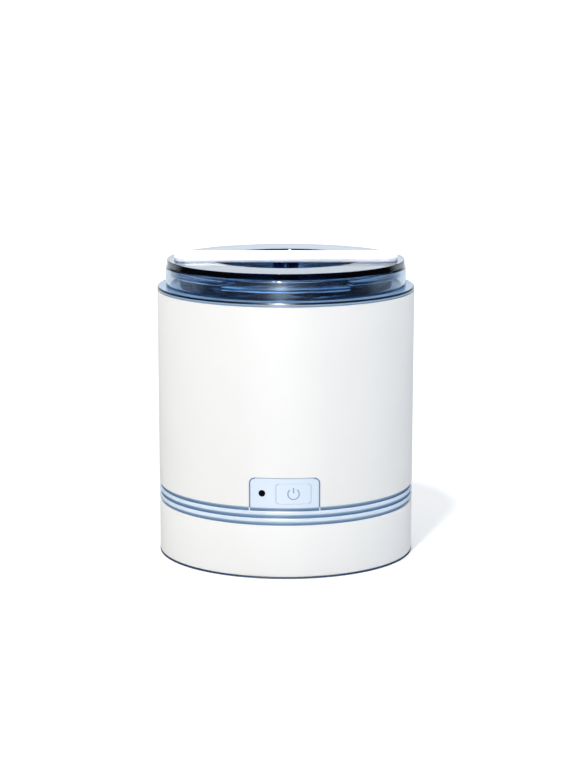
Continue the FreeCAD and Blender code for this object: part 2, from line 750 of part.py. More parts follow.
def collar_ring():
    """Ring on top of the body with the ledge, the neck, its guide segments and the snap spigot."""
    spigot_out = HOUSING_IN_R - SPIGOT_GAP
    spigot_in = spigot_out - SPIGOT_T
    spigot_z = BODY_TOP_Z - SPIGOT_H
    collar = turned([
        (NECK_IN_R, BODY_TOP_Z),
        (spigot_in, BODY_TOP_Z),
        (spigot_in, spigot_z),
        (spigot_out, spigot_z),
        (spigot_out, BODY_TOP_Z),
        (COLLAR_R, BODY_TOP_Z),
        (COLLAR_R, LEDGE_Z - COLLAR_EDGE),
        (COLLAR_R - COLLAR_EDGE, LEDGE_Z),
        (NECK_R, LEDGE_Z),
        (NECK_R, NECK_TOP_Z),
        (NECK_IN_R, NECK_TOP_Z),
    ])
    pieces = []
    wide = 2 * GUIDE_HALF_ANGLE
    side_wide = 180.0 - wide - 2 * GUIDE_BREAK_ANGLE
    for middle, sweep, up in (
        (270.0, wide, GUIDE_FRONT_UP), (90.0, wide, GUIDE_FRONT_UP),
        (0.0, side_wide, GUIDE_SIDE_UP), (180.0, side_wide, GUIDE_SIDE_UP),
    ):
        low = LEDGE_Z + up
        pieces.append(turned([
            (NECK_R - NECK_WALL / 2, low), (GUIDE_R, low),
            (GUIDE_R, low + GUIDE_T), (NECK_R - NECK_WALL / 2, low + GUIDE_T),
        ], sweep, middle - sweep / 2))
    snap_z = spigot_z + SNAP_UP
    snap = block(
        spigot_in + SPIGOT_T / 2, spigot_out + SNAP_DEPTH, -SNAP_W / 2, SNAP_W / 2, snap_z, snap_z + SNAP_H
    )
    pieces += around(snap, SNAP_COUNT, 0)
    return collar.fuse(pieces)


def tank():
    """Drawn steel cup with a rounded floor corner and a flat rim flange."""
    under = TANK_RIM_Z - TANK_WALL
    flange_r = NECK_R - FLANGE_INSET
    return turned([
        (0, TANK_FLOOR_Z - TANK_WALL),
        (TANK_OUT_R, TANK_FLOOR_Z - TANK_WALL, TANK_CORNER + TANK_WALL),
        (TANK_OUT_R, under),
        (flange_r, under),
        (flange_r, TANK_RIM_Z),
        (TANK_R, TANK_RIM_Z, TANK_LIP_R),
        (TANK_R, TANK_FLOOR_Z, TANK_CORNER),
        (0, TANK_FLOOR_Z),
    ])


def tank_gasket():
    """Flat seal between the neck and the tank's flange."""
    return ring(NECK_R - FLANGE_INSET, NECK_IN_R, NECK_TOP_Z, NECK_TOP_Z + GASKET_T)


def basket():
    """Slotted basket on four feet with two lifting tabs."""
    rim_r = TANK_R - BASKET_GAP
    low_r = rim_r - BASKET_DRAFT
    floor_z = TANK_FLOOR_Z + BASKET_FOOT_H
    rim_z = floor_z + BASKET_H
    cup = turned([
        (0, floor_z),
        (low_r, floor_z, BASKET_CORNER),
        (rim_r, rim_z),
        (rim_r - BASKET_WALL, rim_z),
        (low_r - BASKET_WALL, floor_z + BASKET_WALL, BASKET_CORNER - BASKET_WALL),
        (0, floor_z + BASKET_WALL),
    ])
    foot_at = low_r - BASKET_CORNER - BASKET_FOOT_INSET
    foot = post(BASKET_FOOT_R, TANK_FLOOR_Z, floor_z + BASKET_WALL / 2, foot_at)
    tab_top = WELL_UNDER_Z - TAB_CLEAR
    tab_low = rim_z - BASKET_WALL
    corners = [V(rim_r - BASKET_WALL, -TAB_W / 2, tab_low), V(rim_r - BASKET_WALL, TAB_W / 2, tab_low)]
    corners += [V(rim_r - BASKET_WALL, TAB_W / 2, tab_top), V(rim_r - BASKET_WALL, -TAB_W / 2, tab_top)]
    plate = flat_face(corners, [0, 0, TAB_CORNER, TAB_CORNER]).extrude(V(-BASKET_WALL, 0, 0))
    bridge_r = rim_r - BASKET_WALL / 2
    bridge = block(rim_r - 2 * BASKET_WALL, bridge_r, -TAB_W / 2, TAB_W / 2, tab_low, rim_z)
    bridge = bridge.common(post(bridge_r, tab_low, rim_z))
    tab = plate.fuse(bridge)
    hole_z = tab_top - TAB_CORNER - TAB_HOLE_R / 2
    tab = tab.cut(Part.makeCylinder(TAB_HOLE_R, rim_r, V(0, 0, hole_z), V(1, 0, 0)))
    cup = cup.fuse(around(foot, BASKET_FEET, BASKET_FOOT_ANGLE) + around(tab, TAB_COUNT, 0))
    slot_z = floor_z + SLOT_UP
    slot = block(
        low_r - 3 * BASKET_WALL, rim_r + CUT_SPARE, -SLOT_W / 2, SLOT_W / 2, slot_z, slot_z + SLOT_H
    )
    floor_slot = block(
        FLOOR_SLOT_IN, FLOOR_SLOT_IN + FLOOR_SLOT_L, -FLOOR_SLOT_W / 2, FLOOR_SLOT_W / 2,
        floor_z - CUT_SPARE, floor_z + BASKET_WALL + CUT_SPARE,
    )
    return cup.cut(around(slot, SLOT_COUNT, 0) + around(floor_slot, FLOOR_SLOTS, 0))


def lid_shell():
    """Smoked clear lid: plate, skirt, drafted finger well and the post that carries the bar."""
    lid = turned([
        (0, WELL_UNDER_Z),
        (WELL_FLOOR_R + WELL_WALL, WELL_UNDER_Z, WELL_CORNER + WELL_WALL / 2),
        (WELL_R + WELL_WALL, PLATE_Z),
        (SKIRT_IN_R, PLATE_Z),
        (SKIRT_IN_R, LEDGE_Z),
        (SKIRT_R, LEDGE_Z),
        (SKIRT_R, LEDGE_Z + SKIRT_H),
        (PLATE_R, PLATE_Z),
        (PLATE_R, LID_TOP_Z - PLATE_EDGE),
        (PLATE_R - PLATE_EDGE, LID_TOP_Z),
        (WELL_R, LID_TOP_Z),
        (WELL_FLOOR_R, WELL_FLOOR_Z, WELL_CORNER),
        (0, WELL_FLOOR_Z),
    ])
    lid = lid.fuse(post(LID_POST_R, WELL_FLOOR_Z, LID_TOP_Z))
    boss_hole_z = LID_TOP_Z - BAR_BOSS_L - BAR_BOSS_GAP
    cuts = [
        post(BAR_BOSS_R + BAR_BOSS_GAP, boss_hole_z, LID_TOP_Z),
        post(SCREW_R + SCREW_PASS, WELL_UNDER_Z, boss_hole_z),
        post(SCREW_HEAD_R + SCREW_PASS, WELL_UNDER_Z, WELL_UNDER_Z + SCREW_HEAD_H / 2),
    ]
    for side in (-1, 1):
        pin_z = LID_TOP_Z - BAR_PIN_L - BAR_BOSS_GAP
        cuts.append(post(BAR_PIN_R + BAR_BOSS_GAP, pin_z, LID_TOP_Z, side * BAR_PIN_X))
    return lid.cut(cuts)


def lid_handle():
    """White bar across the lid: straight sides, ends that follow the lid, a boss and two pins."""
    top = LID_TOP_Z + BAR_T
    bar = Part.Face(bar_outline(BAR_END_R, BAR_HALF_W, BAR_CORNER)).extrude(V(0, 0, BAR_T))
    bar.translate(V(0, 0, LID_TOP_Z))
    top_edges = [e for e in bar.Edges if all(abs(v.Z - top) < 1e-6 for v in e.Vertexes)]
    bar = bar.makeChamfer(BAR_EDGE, top_edges)
    additions = [post(BAR_BOSS_R, LID_TOP_Z - BAR_BOSS_L, LID_TOP_Z + BAR_T / 2)]
    for side in (-1, 1):
        additions.append(post(BAR_PIN_R, LID_TOP_Z - BAR_PIN_L, LID_TOP_Z + BAR_T / 2, side * BAR_PIN_X))
    pilot = post(SCREW_R + SCREW_BITE, LID_TOP_Z - BAR_BOSS_L, LID_TOP_Z)
    return bar.fuse(additions).cut(pilot)


def bar_outline(end_r, half_w, corner_r):
    """Outline of two straight sides and two round ends with rounded corners between them."""
    inner_r = end_r - corner_r
    side_y = half_w - corner_r
    centre_x = math.sqrt(inner_r ** 2 - side_y ** 2)
    lean = math.atan2(side_y, centre_x)
    edges = []
    for turn in (0, 180):
        spin = FreeCAD.Rotation(V(0, 0, 1), turn)
        low_in = V(centre_x, -half_w, 0)
        low_mid = V(centre_x, -side_y, 0) + V(
            corner_r * math.sin(math.pi / 4 + lean / 2), -corner_r * math.cos(math.pi / 4 + lean / 2), 0
        )
        low_out = V(end_r * math.cos(lean), -end_r * math.sin(lean), 0)
        tip = V(end_r, 0, 0)
        high_out = V(low_out.x, -low_out.y, 0)
        high_mid = V(low_mid.x, -low_mid.y, 0)
        high_in = V(low_in.x, -low_in.y, 0)
        far = V(-centre_x, half_w, 0)
        turned_points = [spin.multVec(p) for p in (low_in, low_mid, low_out, tip, high_out, high_mid)]
        turned_points += [spin.multVec(p) for p in (high_in, far)]
        a, b, c, d, e, f, g, h = turned_points
        edges.append(Part.Arc(a, b, c).toShape())
        edges.append(Part.Arc(c, d, e).toShape())
        edges.append(Part.Arc(e, f, g).toShape())
        edges.append(Part.LineSegment(g, h).toShape())
    return Part.Wire(edges)


def lid_handle_screw():
    """Screw from under the well up into the bar's boss."""
    return screw(BAR_SCREW_L, 0, 0, WELL_UNDER_Z + SCREW_HEAD_H / 2)


def stack_places():
    """Heights of the transducer's pieces, from the tank floor down."""
    front_top = TANK_FLOOR_Z - TANK_WALL
    piezo_top = front_top - FRONT_L
    back_top = piezo_top - PIEZO_COUNT * PIEZO_T - (PIEZO_COUNT + 1) * ELECTRODE_T
    return front_top, piezo_top, back_top, back_top - BACK_L


def transducer_front_mass():
    """Light metal front mass bonded under the tank floor."""
    front_top, piezo_top, back_top, back_low = stack_places()
    mass = turned([
        (0, piezo_top), (STACK_R, piezo_top), (FRONT_R, front_top - FRONT_RIM), (FRONT_R, front_top),
        (0, front_top),
    ])
    return mass.cut(post(BOLT_R + SCREW_BITE, piezo_top, piezo_top + BOLT_IN + PILOT_SPARE))


def piezo_rings():
    """Ceramic rings between the electrodes."""
    front_top, piezo_top, back_top, back_low = stack_places()
    rings = []
    for i in range(PIEZO_COUNT):
        high = piezo_top - ELECTRODE_T - i * (PIEZO_T + ELECTRODE_T)
        rings.append(ring(STACK_R, PIEZO_BORE_R, high - PIEZO_T, high))
    return Part.makeCompound(rings)


def electrode_z(index):
    """Lower face of one electrode of the stack."""
    front_top, piezo_top, back_top, back_low = stack_places()
    return piezo_top - ELECTRODE_T - index * (PIEZO_T + ELECTRODE_T)


def electrodes():
    """Thin contact rings, each with a tab that sticks out to one side."""
    plates = []
    for i in range(PIEZO_COUNT + 1):
        low = electrode_z(i)
        plate = ring(STACK_R, PIEZO_BORE_R, low, low + ELECTRODE_T)
        angle = TRANSDUCER_LEAD_ANGLES[i % 2]
        tab = block(
            STACK_R - ROOT, STACK_R + ELECTRODE_TAB_L, -ELECTRODE_TAB_W / 2, ELECTRODE_TAB_W / 2,
            low, low + ELECTRODE_T,
        )
        plates.append(plate.fuse(spun(tab, angle)))
    return Part.makeCompound(plates)


def transducer_back_mass():
    """Steel back mass of the stack."""
    front_top, piezo_top, back_top, back_low = stack_places()
    return ring(STACK_R, BOLT_R + SCREW_PASS, back_low, back_top)


def transducer_washer():
    """Washer under the clamping bolt's head."""
    front_top, piezo_top, back_top, back_low = stack_places()
    return ring(WASHER_R, BOLT_R + SCREW_PASS, back_low - WASHER_T, back_low)


def transducer_bolt():
    """Hexagon bolt that clamps the stack to the front mass."""
    front_top, piezo_top, back_top, back_low = stack_places()
    head_top = back_low - WASHER_T
    corners = []
    for i in range(6):
        angle = math.radians(60 * i)
        corners.append(V(BOLT_HEAD_R * math.cos(angle), BOLT_HEAD_R * math.sin(angle), head_top))
    head = flat_face(corners).extrude(V(0, 0, -BOLT_HEAD_H))
    return head.fuse(post(BOLT_R, head_top, piezo_top + BOLT_IN))


def transducer_leads():
    """Two leads from the electrode tabs down to the driver board."""
    wires = []
    for i in range(2):
        z = electrode_z(i) + ELECTRODE_T / 2
        start_r = STACK_R + ELECTRODE_TAB_L
        points = [V(start_r, 0, z), V(start_r + TRANSDUCER_LEAD_OUT, 0, z)]
        points.append(V(start_r + TRANSDUCER_LEAD_OUT, 0, BOARD_TOP_Z))
        wires.append(spun(lead(points), TRANSDUCER_LEAD_ANGLES[i]))
    return Part.makeCompound(wires)


def bottom_cover():
    """Dark cover with a stepped edge, vents, foot recesses, screw holes and board standoffs."""
    flange_r = BODY_FOOT_R - COVER_FLANGE_INSET
    plug_r = BODY_FOOT_R - WALL - COVER_FIT
    cover = turned([
        (0, COVER_Z), (flange_r - EDGE, COVER_Z), (flange_r, COVER_Z + EDGE), (flange_r, BASE_EDGE_Z),
        (plug_r, BASE_EDGE_Z), (plug_r, COVER_TOP_Z), (0, COVER_TOP_Z),
    ])
    standoff = post(STANDOFF_R, COVER_TOP_Z - ROOT, BOARD_Z, STANDOFF_CIRCLE_R)
    cover = cover.fuse(around(standoff, POST_COUNT, POST_ANGLE))
    pilot = post(SCREW_R + SCREW_BITE, BOARD_Z - SMALL_SCREW_L, BOARD_Z, STANDOFF_CIRCLE_R)
    foot_recess = post(FOOT_R + COVER_FIT, COVER_Z, COVER_Z + FOOT_RECESS, FOOT_CIRCLE_R)
    through = post(SCREW_R + SCREW_PASS, COVER_Z, COVER_TOP_Z, POST_CIRCLE_R)
    head = post(SCREW_HEAD_R + SCREW_PASS, COVER_Z, COVER_SEAT_Z, POST_CIRCLE_R)
    vent = block(VENT_IN, VENT_IN + VENT_L, -VENT_W / 2, VENT_W / 2, COVER_Z, COVER_TOP_Z)
    cuts = around(pilot, POST_COUNT, POST_ANGLE) + around(foot_recess, FOOT_COUNT, FOOT_ANGLE)
    cuts += around(through, POST_COUNT, COVER_SCREW_ANGLE) + around(head, POST_COUNT, COVER_SCREW_ANGLE)
    cuts += around(vent, VENT_COUNT, 0)
    return cover.cut(cuts)


def cover_screws():
    """Screws from below through the cover into the base."""
    item = screw(SMALL_SCREW_L, POST_CIRCLE_R, 0, COVER_SEAT_Z)
    return Part.makeCompound(around(item, POST_COUNT, COVER_SCREW_ANGLE))


def case_screws():
    """Long screws up through the base posts into the upper housing."""
    item = screw(CASE_SCREW_L, POST_CIRCLE_R, 0, POST_HEAD_Z)
    return Part.makeCompound(around(item, POST_COUNT, POST_ANGLE))


def rubber_feet():
    """Four round feet in the cover's recesses."""
    foot = post(FOOT_R, 0, COVER_Z + FOOT_RECESS, FOOT_CIRCLE_R)
    return Part.makeCompound(around(foot, FOOT_COUNT, FOOT_ANGLE))


def driver_board():
    """Round board on the cover's standoffs with a tongue under the inlet socket."""
    board = post(DRIVER_R, BOARD_Z, BOARD_TOP_Z)
    tongue = block(-TONGUE_HALF_W, TONGUE_HALF_W, 0, jack_front_y(), BOARD_Z, BOARD_TOP_Z)
    hole = post(SCREW_R + SCREW_PASS, BOARD_Z, BOARD_TOP_Z, STANDOFF_CIRCLE_R)
    return board.fuse(tongue).cut(around(hole, POST_COUNT, POST_ANGLE))


def board_screws():
    """Screws that hold the driver board on its standoffs."""
    item = screw(SMALL_SCREW_L, STANDOFF_CIRCLE_R, 0, BOARD_TOP_Z, False)
    return Part.makeCompound(around(item, POST_COUNT, POST_ANGLE))


def jack_front_y():
    """Where the socket's body ends just inside the rear wall."""
    inner = body_r(JACK_Z) - WALL
    return math.sqrt(inner ** 2 - (JACK_W / 2) ** 2) - JACK_WALL_GAP


def dc_jack():
    """Inlet socket on the board's tongue whose nose fills the hole in the rear wall."""
    front = jack_front_y()
    case = block(-JACK_W / 2, JACK_W / 2, front - JACK_L, front, BOARD_TOP_Z, BOARD_TOP_Z + JACK_H)
    nose_end = body_r(JACK_Z) - JACK_NOSE_SUNK
    nose = rod_y(JACK_NOSE_R, front - ROOT, nose_end, 0, JACK_Z)
    bore = rod_y(JACK_BORE_R, nose_end - JACK_BORE_L, nose_end, 0, JACK_Z)
    root = rod_y(JACK_PIN_ROOT_R, nose_end - JACK_BORE_L - JACK_PIN_ROOT, nose_end - JACK_BORE_L, 0, JACK_Z)
    return case.fuse(nose).cut([bore, root])


def dc_jack_pin():
    """Centre contact of the inlet socket."""
    nose_end = body_r(JACK_Z) - JACK_NOSE_SUNK
    floor_y = nose_end - JACK_BORE_L
    root = rod_y(JACK_PIN_ROOT_R, floor_y - JACK_PIN_ROOT, floor_y, 0, JACK_Z)
    return root.fuse(rod_y(JACK_PIN_R, floor_y - JACK_PIN_ROOT / 2, nose_end - JACK_PIN_SUNK, 0, JACK_Z))


def transformer_core():
    """Ferrite core with two windows beside its middle leg."""
    middle = on_board(CORE_AT)
    core = centred_block(middle, CORE_DEPTH, CORE_W, BOARD_TOP_Z, CORE_H)
    low = BOARD_TOP_Z + (CORE_H - CORE_WINDOW_H) / 2
    windows = []
    for side in (-1, 1):
        at = middle + V(0, side * (CORE_LEG_W + CORE_WINDOW_W) / 2, 0)
        windows.append(centred_block(at, CORE_DEPTH + CUT_SPARE, CORE_WINDOW_W, low, CORE_WINDOW_H))
    return core.cut(windows)


def transformer_winding():
    """Taped winding round the core's middle leg."""
    low = BOARD_TOP_Z + (CORE_H - CORE_WINDOW_H) / 2 + WINDING_GAP
    high = CORE_WINDOW_H - 2 * WINDING_GAP
    width = CORE_LEG_W + 2 * (CORE_WINDOW_W - WINDING_GAP)
    middle = on_board(CORE_AT)
    coil = centred_block(middle, WINDING_DEPTH, width, low, high)
    upright = [e for e in coil.Edges if abs(e.tangentAt(e.FirstParameter).z) > 0.99]
    coil = coil.makeFillet(CORE_WINDOW_W / 2, upright)
    leg_gap = 2 * SCREW_BITE
    return coil.cut(centred_block(middle, CORE_DEPTH + leg_gap, CORE_LEG_W + leg_gap, low, high))


def bulk_capacitors():
    """Two upright can capacitors with a crimp above the foot."""
    cans = []
    for side in (-1, 1):
        can = turned([
            (0, BOARD_TOP_Z),
            (BULK_R, BOARD_TOP_Z),
            (BULK_R, BOARD_TOP_Z + BULK_CRIMP_UP - BULK_CRIMP),
            (BULK_R - BULK_CRIMP, BOARD_TOP_Z + BULK_CRIMP_UP),
            (BULK_R, BOARD_TOP_Z + BULK_CRIMP_UP + BULK_CRIMP),
            (BULK_R, BOARD_TOP_Z + BULK_H),
            (0, BOARD_TOP_Z + BULK_H),
        ])
        can.translate(on_board(BULK_AT) + V(side * BULK_PITCH / 2, 0, 0))
        cans.append(can)
    return Part.makeCompound(cans)


def film_capacitor():
    """Boxed film capacitor."""
    return centred_block(on_board(FILM_AT), FILM_W, FILM_T, BOARD_TOP_Z, FILM_H)


def heat_sink():
    """Finned plate that the two transistors are fixed to."""
    face = on_board(SINK_AT)
    plate = block(
        face.x - SINK_PLATE, face.x, face.y - SINK_W / 2, face.y + SINK_W / 2,
        BOARD_TOP_Z, BOARD_TOP_Z + SINK_H,
    )
    fins = []
    pitch = (SINK_W - SINK_FIN_T) / (SINK_FINS - 1)
    for i in range(SINK_FINS):
        y = face.y - SINK_W / 2 + i * pitch
        fins.append(block(
            face.x - SINK_PLATE - SINK_FIN_L, face.x - SINK_PLATE + ROOT, y, y + SINK_FIN_T,
            BOARD_TOP_Z, BOARD_TOP_Z + SINK_H,
        ))
    return plate.fuse(fins)


def power_transistors():
    """Two flat power transistors with metal tabs and three legs each."""
    pieces = []
    low = BOARD_TOP_Z + TRANSISTOR_UP
    face_x = on_board(SINK_AT).x
    for side in (-1, 1):
        y = on_board(SINK_AT).y + side * TRANSISTOR_PITCH / 2
        case = block(
            face_x, face_x + TRANSISTOR_T, y - TRANSISTOR_W / 2, y + TRANSISTOR_W / 2, low, low + TRANSISTOR_H
        )
        tab_top = low + TRANSISTOR_H + TRANSISTOR_TAB_H
        tab = block(
            face_x, face_x + TRANSISTOR_TAB_T, y - TRANSISTOR_W / 2, y + TRANSISTOR_W / 2,
            low + TRANSISTOR_H - ROOT, tab_top,
        )
        hole_z = low + TRANSISTOR_H + TRANSISTOR_TAB_H / 2
        hole = Part.makeCylinder(TRANSISTOR_HOLE_R, TRANSISTOR_T, V(face_x, y, hole_z), V(1, 0, 0))
        legs = []
        for i in (-1, 0, 1):
            at = V(face_x + TRANSISTOR_T / 2, y + i * LEG_PITCH, 0)
            legs.append(centred_block(at, LEG_W, LEG_W, BOARD_TOP_Z, TRANSISTOR_UP + ROOT))
        pieces.append(case.fuse([tab] + legs).cut(hole))
    return Part.makeCompound(pieces)


def choke_coil():
    """Ring choke lying on the board."""
    low = BOARD_TOP_Z
    high = BOARD_TOP_Z + 2 * CHOKE_WIRE_R
    inner = CHOKE_R - CHOKE_WIRE_R
    outer = CHOKE_R + CHOKE_WIRE_R
    cut = CHOKE_WIRE_R / 2
    coil = turned([
        (inner + cut, low), (outer - cut, low), (outer, low + cut), (outer, high - cut),
        (outer - cut, high), (inner + cut, high), (inner, high - cut), (inner, low + cut),
    ])
    coil.translate(on_board(CHOKE_AT))
    return coil


def driver_chip():
    """Flat control chip."""
    return centred_block(on_board(CHIP_AT), CHIP_W, CHIP_D, BOARD_TOP_Z, CHIP_H)


def lead_plug():
    """Board connector that the panel leads end in."""
    return centred_block(on_board(PLUG_AT), PLUG_W, PLUG_D, BOARD_TOP_Z, PLUG_H)


def panel_leads():
    """Leads from the back of the button board down to the connector."""
    start_y = BUTTON_BOARD_Y + BOARD_T
    start_z = HOUSING_Z + PANEL_LEAD_UP
    plug = on_board(PLUG_AT)
    wires = []
    for i in range(PANEL_LEADS):
        x = plug.x + (i - (PANEL_LEADS - 1) / 2) * PANEL_LEAD_PITCH
        points = [V(x, start_y, start_z), V(x, plug.y, start_z), V(x, plug.y, BOARD_TOP_Z + PLUG_H)]
        wires.append(lead(points))
    return Part.makeCompound(wires)


PIECES = {
    "upper_housing": upper_housing,
    "base_shell": base_shell,
    "accent_band": accent_band,
    "control_panel": control_panel,
    "power_button": power_button,
    "indicator_lens": indicator_lens,
    "indicator_led": indicator_led,
    "button_board": button_board,
    "button_board_screws": button_board_screws,
    "switch_body": switch_body,
    "switch_plunger": switch_plunger,
    "collar_ring": collar_ring,
    "tank": tank,
    "tank_gasket": tank_gasket,
    "basket": basket,
    "lid_shell": lid_shell,
    "lid_handle": lid_handle,
    "lid_handle_screw": lid_handle_screw,
    "transducer_front_mass": transducer_front_mass,
    "piezo_rings": piezo_rings,
    "electrodes": electrodes,
    "transducer_back_mass": transducer_back_mass,
    "transducer_washer": transducer_washer,
    "transducer_bolt": transducer_bolt,
    "transducer_leads": transducer_leads,
    "bottom_cover": bottom_cover,
    "cover_screws": cover_screws,
    "case_screws": case_screws,
    "rubber_feet": rubber_feet,
    "driver_board": driver_board,
    "board_screws": board_screws,
    "dc_jack": dc_jack,
    "dc_jack_pin": dc_jack_pin,
    "transformer_core": transformer_core,
    "transformer_winding": transformer_winding,
    "bulk_capacitors": bulk_capacitors,
    "film_capacitor": film_capacitor,
    "heat_sink": heat_sink,
    "power_transistors": power_transistors,
    "choke_coil": choke_coil,
    "driver_chip": driver_chip,
    "lead_plug": lead_plug,
    "panel_leads": panel_leads,
}


def main():
    """Write one file for each piece."""
    os.makedirs("parts", exist_ok=True)
    for name, make in PIECES.items():
        shape = make()
        shape.exportStep("parts/" + name + ".step")
        print(name, "solids", len(shape.Solids), "volume", round(shape.Volume, 1), shape.isValid())


main()
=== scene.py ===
import bmesh
import bpy
import json
import math
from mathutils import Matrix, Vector

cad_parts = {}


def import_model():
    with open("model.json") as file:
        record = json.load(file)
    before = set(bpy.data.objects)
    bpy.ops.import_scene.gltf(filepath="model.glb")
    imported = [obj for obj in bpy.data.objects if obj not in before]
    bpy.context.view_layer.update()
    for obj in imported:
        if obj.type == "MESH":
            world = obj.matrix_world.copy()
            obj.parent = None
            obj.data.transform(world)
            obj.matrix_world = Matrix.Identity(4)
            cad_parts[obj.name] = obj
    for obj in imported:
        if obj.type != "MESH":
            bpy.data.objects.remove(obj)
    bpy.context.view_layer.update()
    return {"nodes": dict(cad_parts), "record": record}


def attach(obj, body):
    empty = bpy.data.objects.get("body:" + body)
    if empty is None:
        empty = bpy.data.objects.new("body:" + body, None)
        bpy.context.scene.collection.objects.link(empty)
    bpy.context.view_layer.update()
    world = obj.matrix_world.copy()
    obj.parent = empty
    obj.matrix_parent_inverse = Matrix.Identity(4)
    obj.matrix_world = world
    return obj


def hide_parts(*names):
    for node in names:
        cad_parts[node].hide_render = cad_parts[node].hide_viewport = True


# Ultrasonic jewelry cleaner: looks, light and camera around the fixed frame.
# Sizes below are in millimetres and become metres where a mesh is made.

MM = 0.001
TURNS = 256

# Outer body
FOOT_Z = 1.1
BAND_Z = 23.74
HOUSING_Z = 31.8
TOP_Z = 119.8
FOOT_R = 57.53
TOP_R = 58.0
WALL = 2.4
SOFT_EDGE = 0.35

SKIN_FOOT_Z = 0.85
FOOT_LINE_R = 57.6
FOOT_LINE_W = 6.0
FOOT_LINE_Z = 0.02

# Accent band
GROOVE_W = 1.65
GROOVE_DEPTH = 0.9
LIP_GAP = 0.15
LIP_T = 2.0
LIP_H = 2.5

# Control panel
PANEL_X = -0.55
PANEL_W = 30.4
PANEL_H = 13.0
PANEL_CORNER = 2.2
PANEL_GAP = 0.3
LINE_INSET = 0.3
LINE_PROUD = 0.02
LINE_T = 0.4
TICK_W = 0.5

# Button and its sign
BUTTON_X = 3.35
BUTTON_Z = 38.1
BUTTON_W = 15.4
BUTTON_H = 8.7
BUTTON_CORNER = 1.2
BUTTON_GAP = 0.26
BUTTON_LINE = 0.22
SIGN_R = 2.45
SIGN_LINE = 0.52
SIGN_GAP_ANGLE = 42.0
SIGN_PROUD = 0.03

# Collar, neck and guide segments
COLLAR_R = 57.9
LEDGE_Z = 121.8
NECK_R = 47.6
NECK_IN_R = 45.6
NECK_TOP_Z = 129.2
GUIDE_R = 52.0
GUIDE_T = 1.9
GUIDE_FRONT_Z = 125.15
GUIDE_SIDE_Z = 127.0
SPIGOT_OUT_R = 55.4
SPIGOT_IN_R = 53.6
SPIGOT_LOW_Z = 110.8

# Tank
TANK_RIM_Z = 130.5
TANK_FLOOR_Z = 64.5
TANK_R = 44.5
TANK_WALL = 0.8
TANK_CORNER = 4.6
TANK_FLANGE_R = 47.3

# Lid
SKIRT_R = 54.1
SKIRT_IN_R = 52.3
SKIRT_TOP_Z = 130.5
PLATE_R = 53.5
PLATE_Z = 130.95
LID_TOP_Z = 133.65
WELL_R = 34.5
WELL_LOW_R = 33.3
WELL_FLOOR_Z = 126.65
WELL_UNDER_Z = 124.85
WELL_WALL = 1.8
LID_POST_R = 5.8
SEAM = 0.03

# Handle bar
BAR_END_R = 50.4
BAR_HALF_W = 14.8
BAR_CORNER = 5.0
BAR_T = 1.8
BAR_EDGE = 0.5
BAR_UNDERCUT = 0.5

# Inlet socket hole
JACK_Z = 15.9
JACK_HOLE_R = 4.2

# Light levels
AMBIENT = 0.83
KEY_POWER = 28.8
STRIP_POWER = 145.0
FLOOR_SEEN = (0.86, 0.86, 0.86, 1)
FLOOR_GLOW = 0.2
FLOOR_FAR_GLOW = 0.5


def body_r(z):
    """Outer radius of the tapered body at a height."""
    return FOOT_R + (TOP_R - FOOT_R) * (z - FOOT_Z) / (TOP_Z - FOOT_Z)


# Colour and materials


def linear(r, g, b):
    """Scene colour for a display colour given in 0 to 255."""
    out = []
    for value in (r, g, b):
        share = value / 255
        out.append(share / 12.92 if share <= 0.04045 else ((share + 0.055) / 1.055) ** 2.4)
    return (out[0], out[1], out[2], 1.0)


def scaled(colour, factor):
    """Colour made lighter or darker."""
    return tuple(min(1.0, c * factor) for c in colour[:3]) + (1.0,)


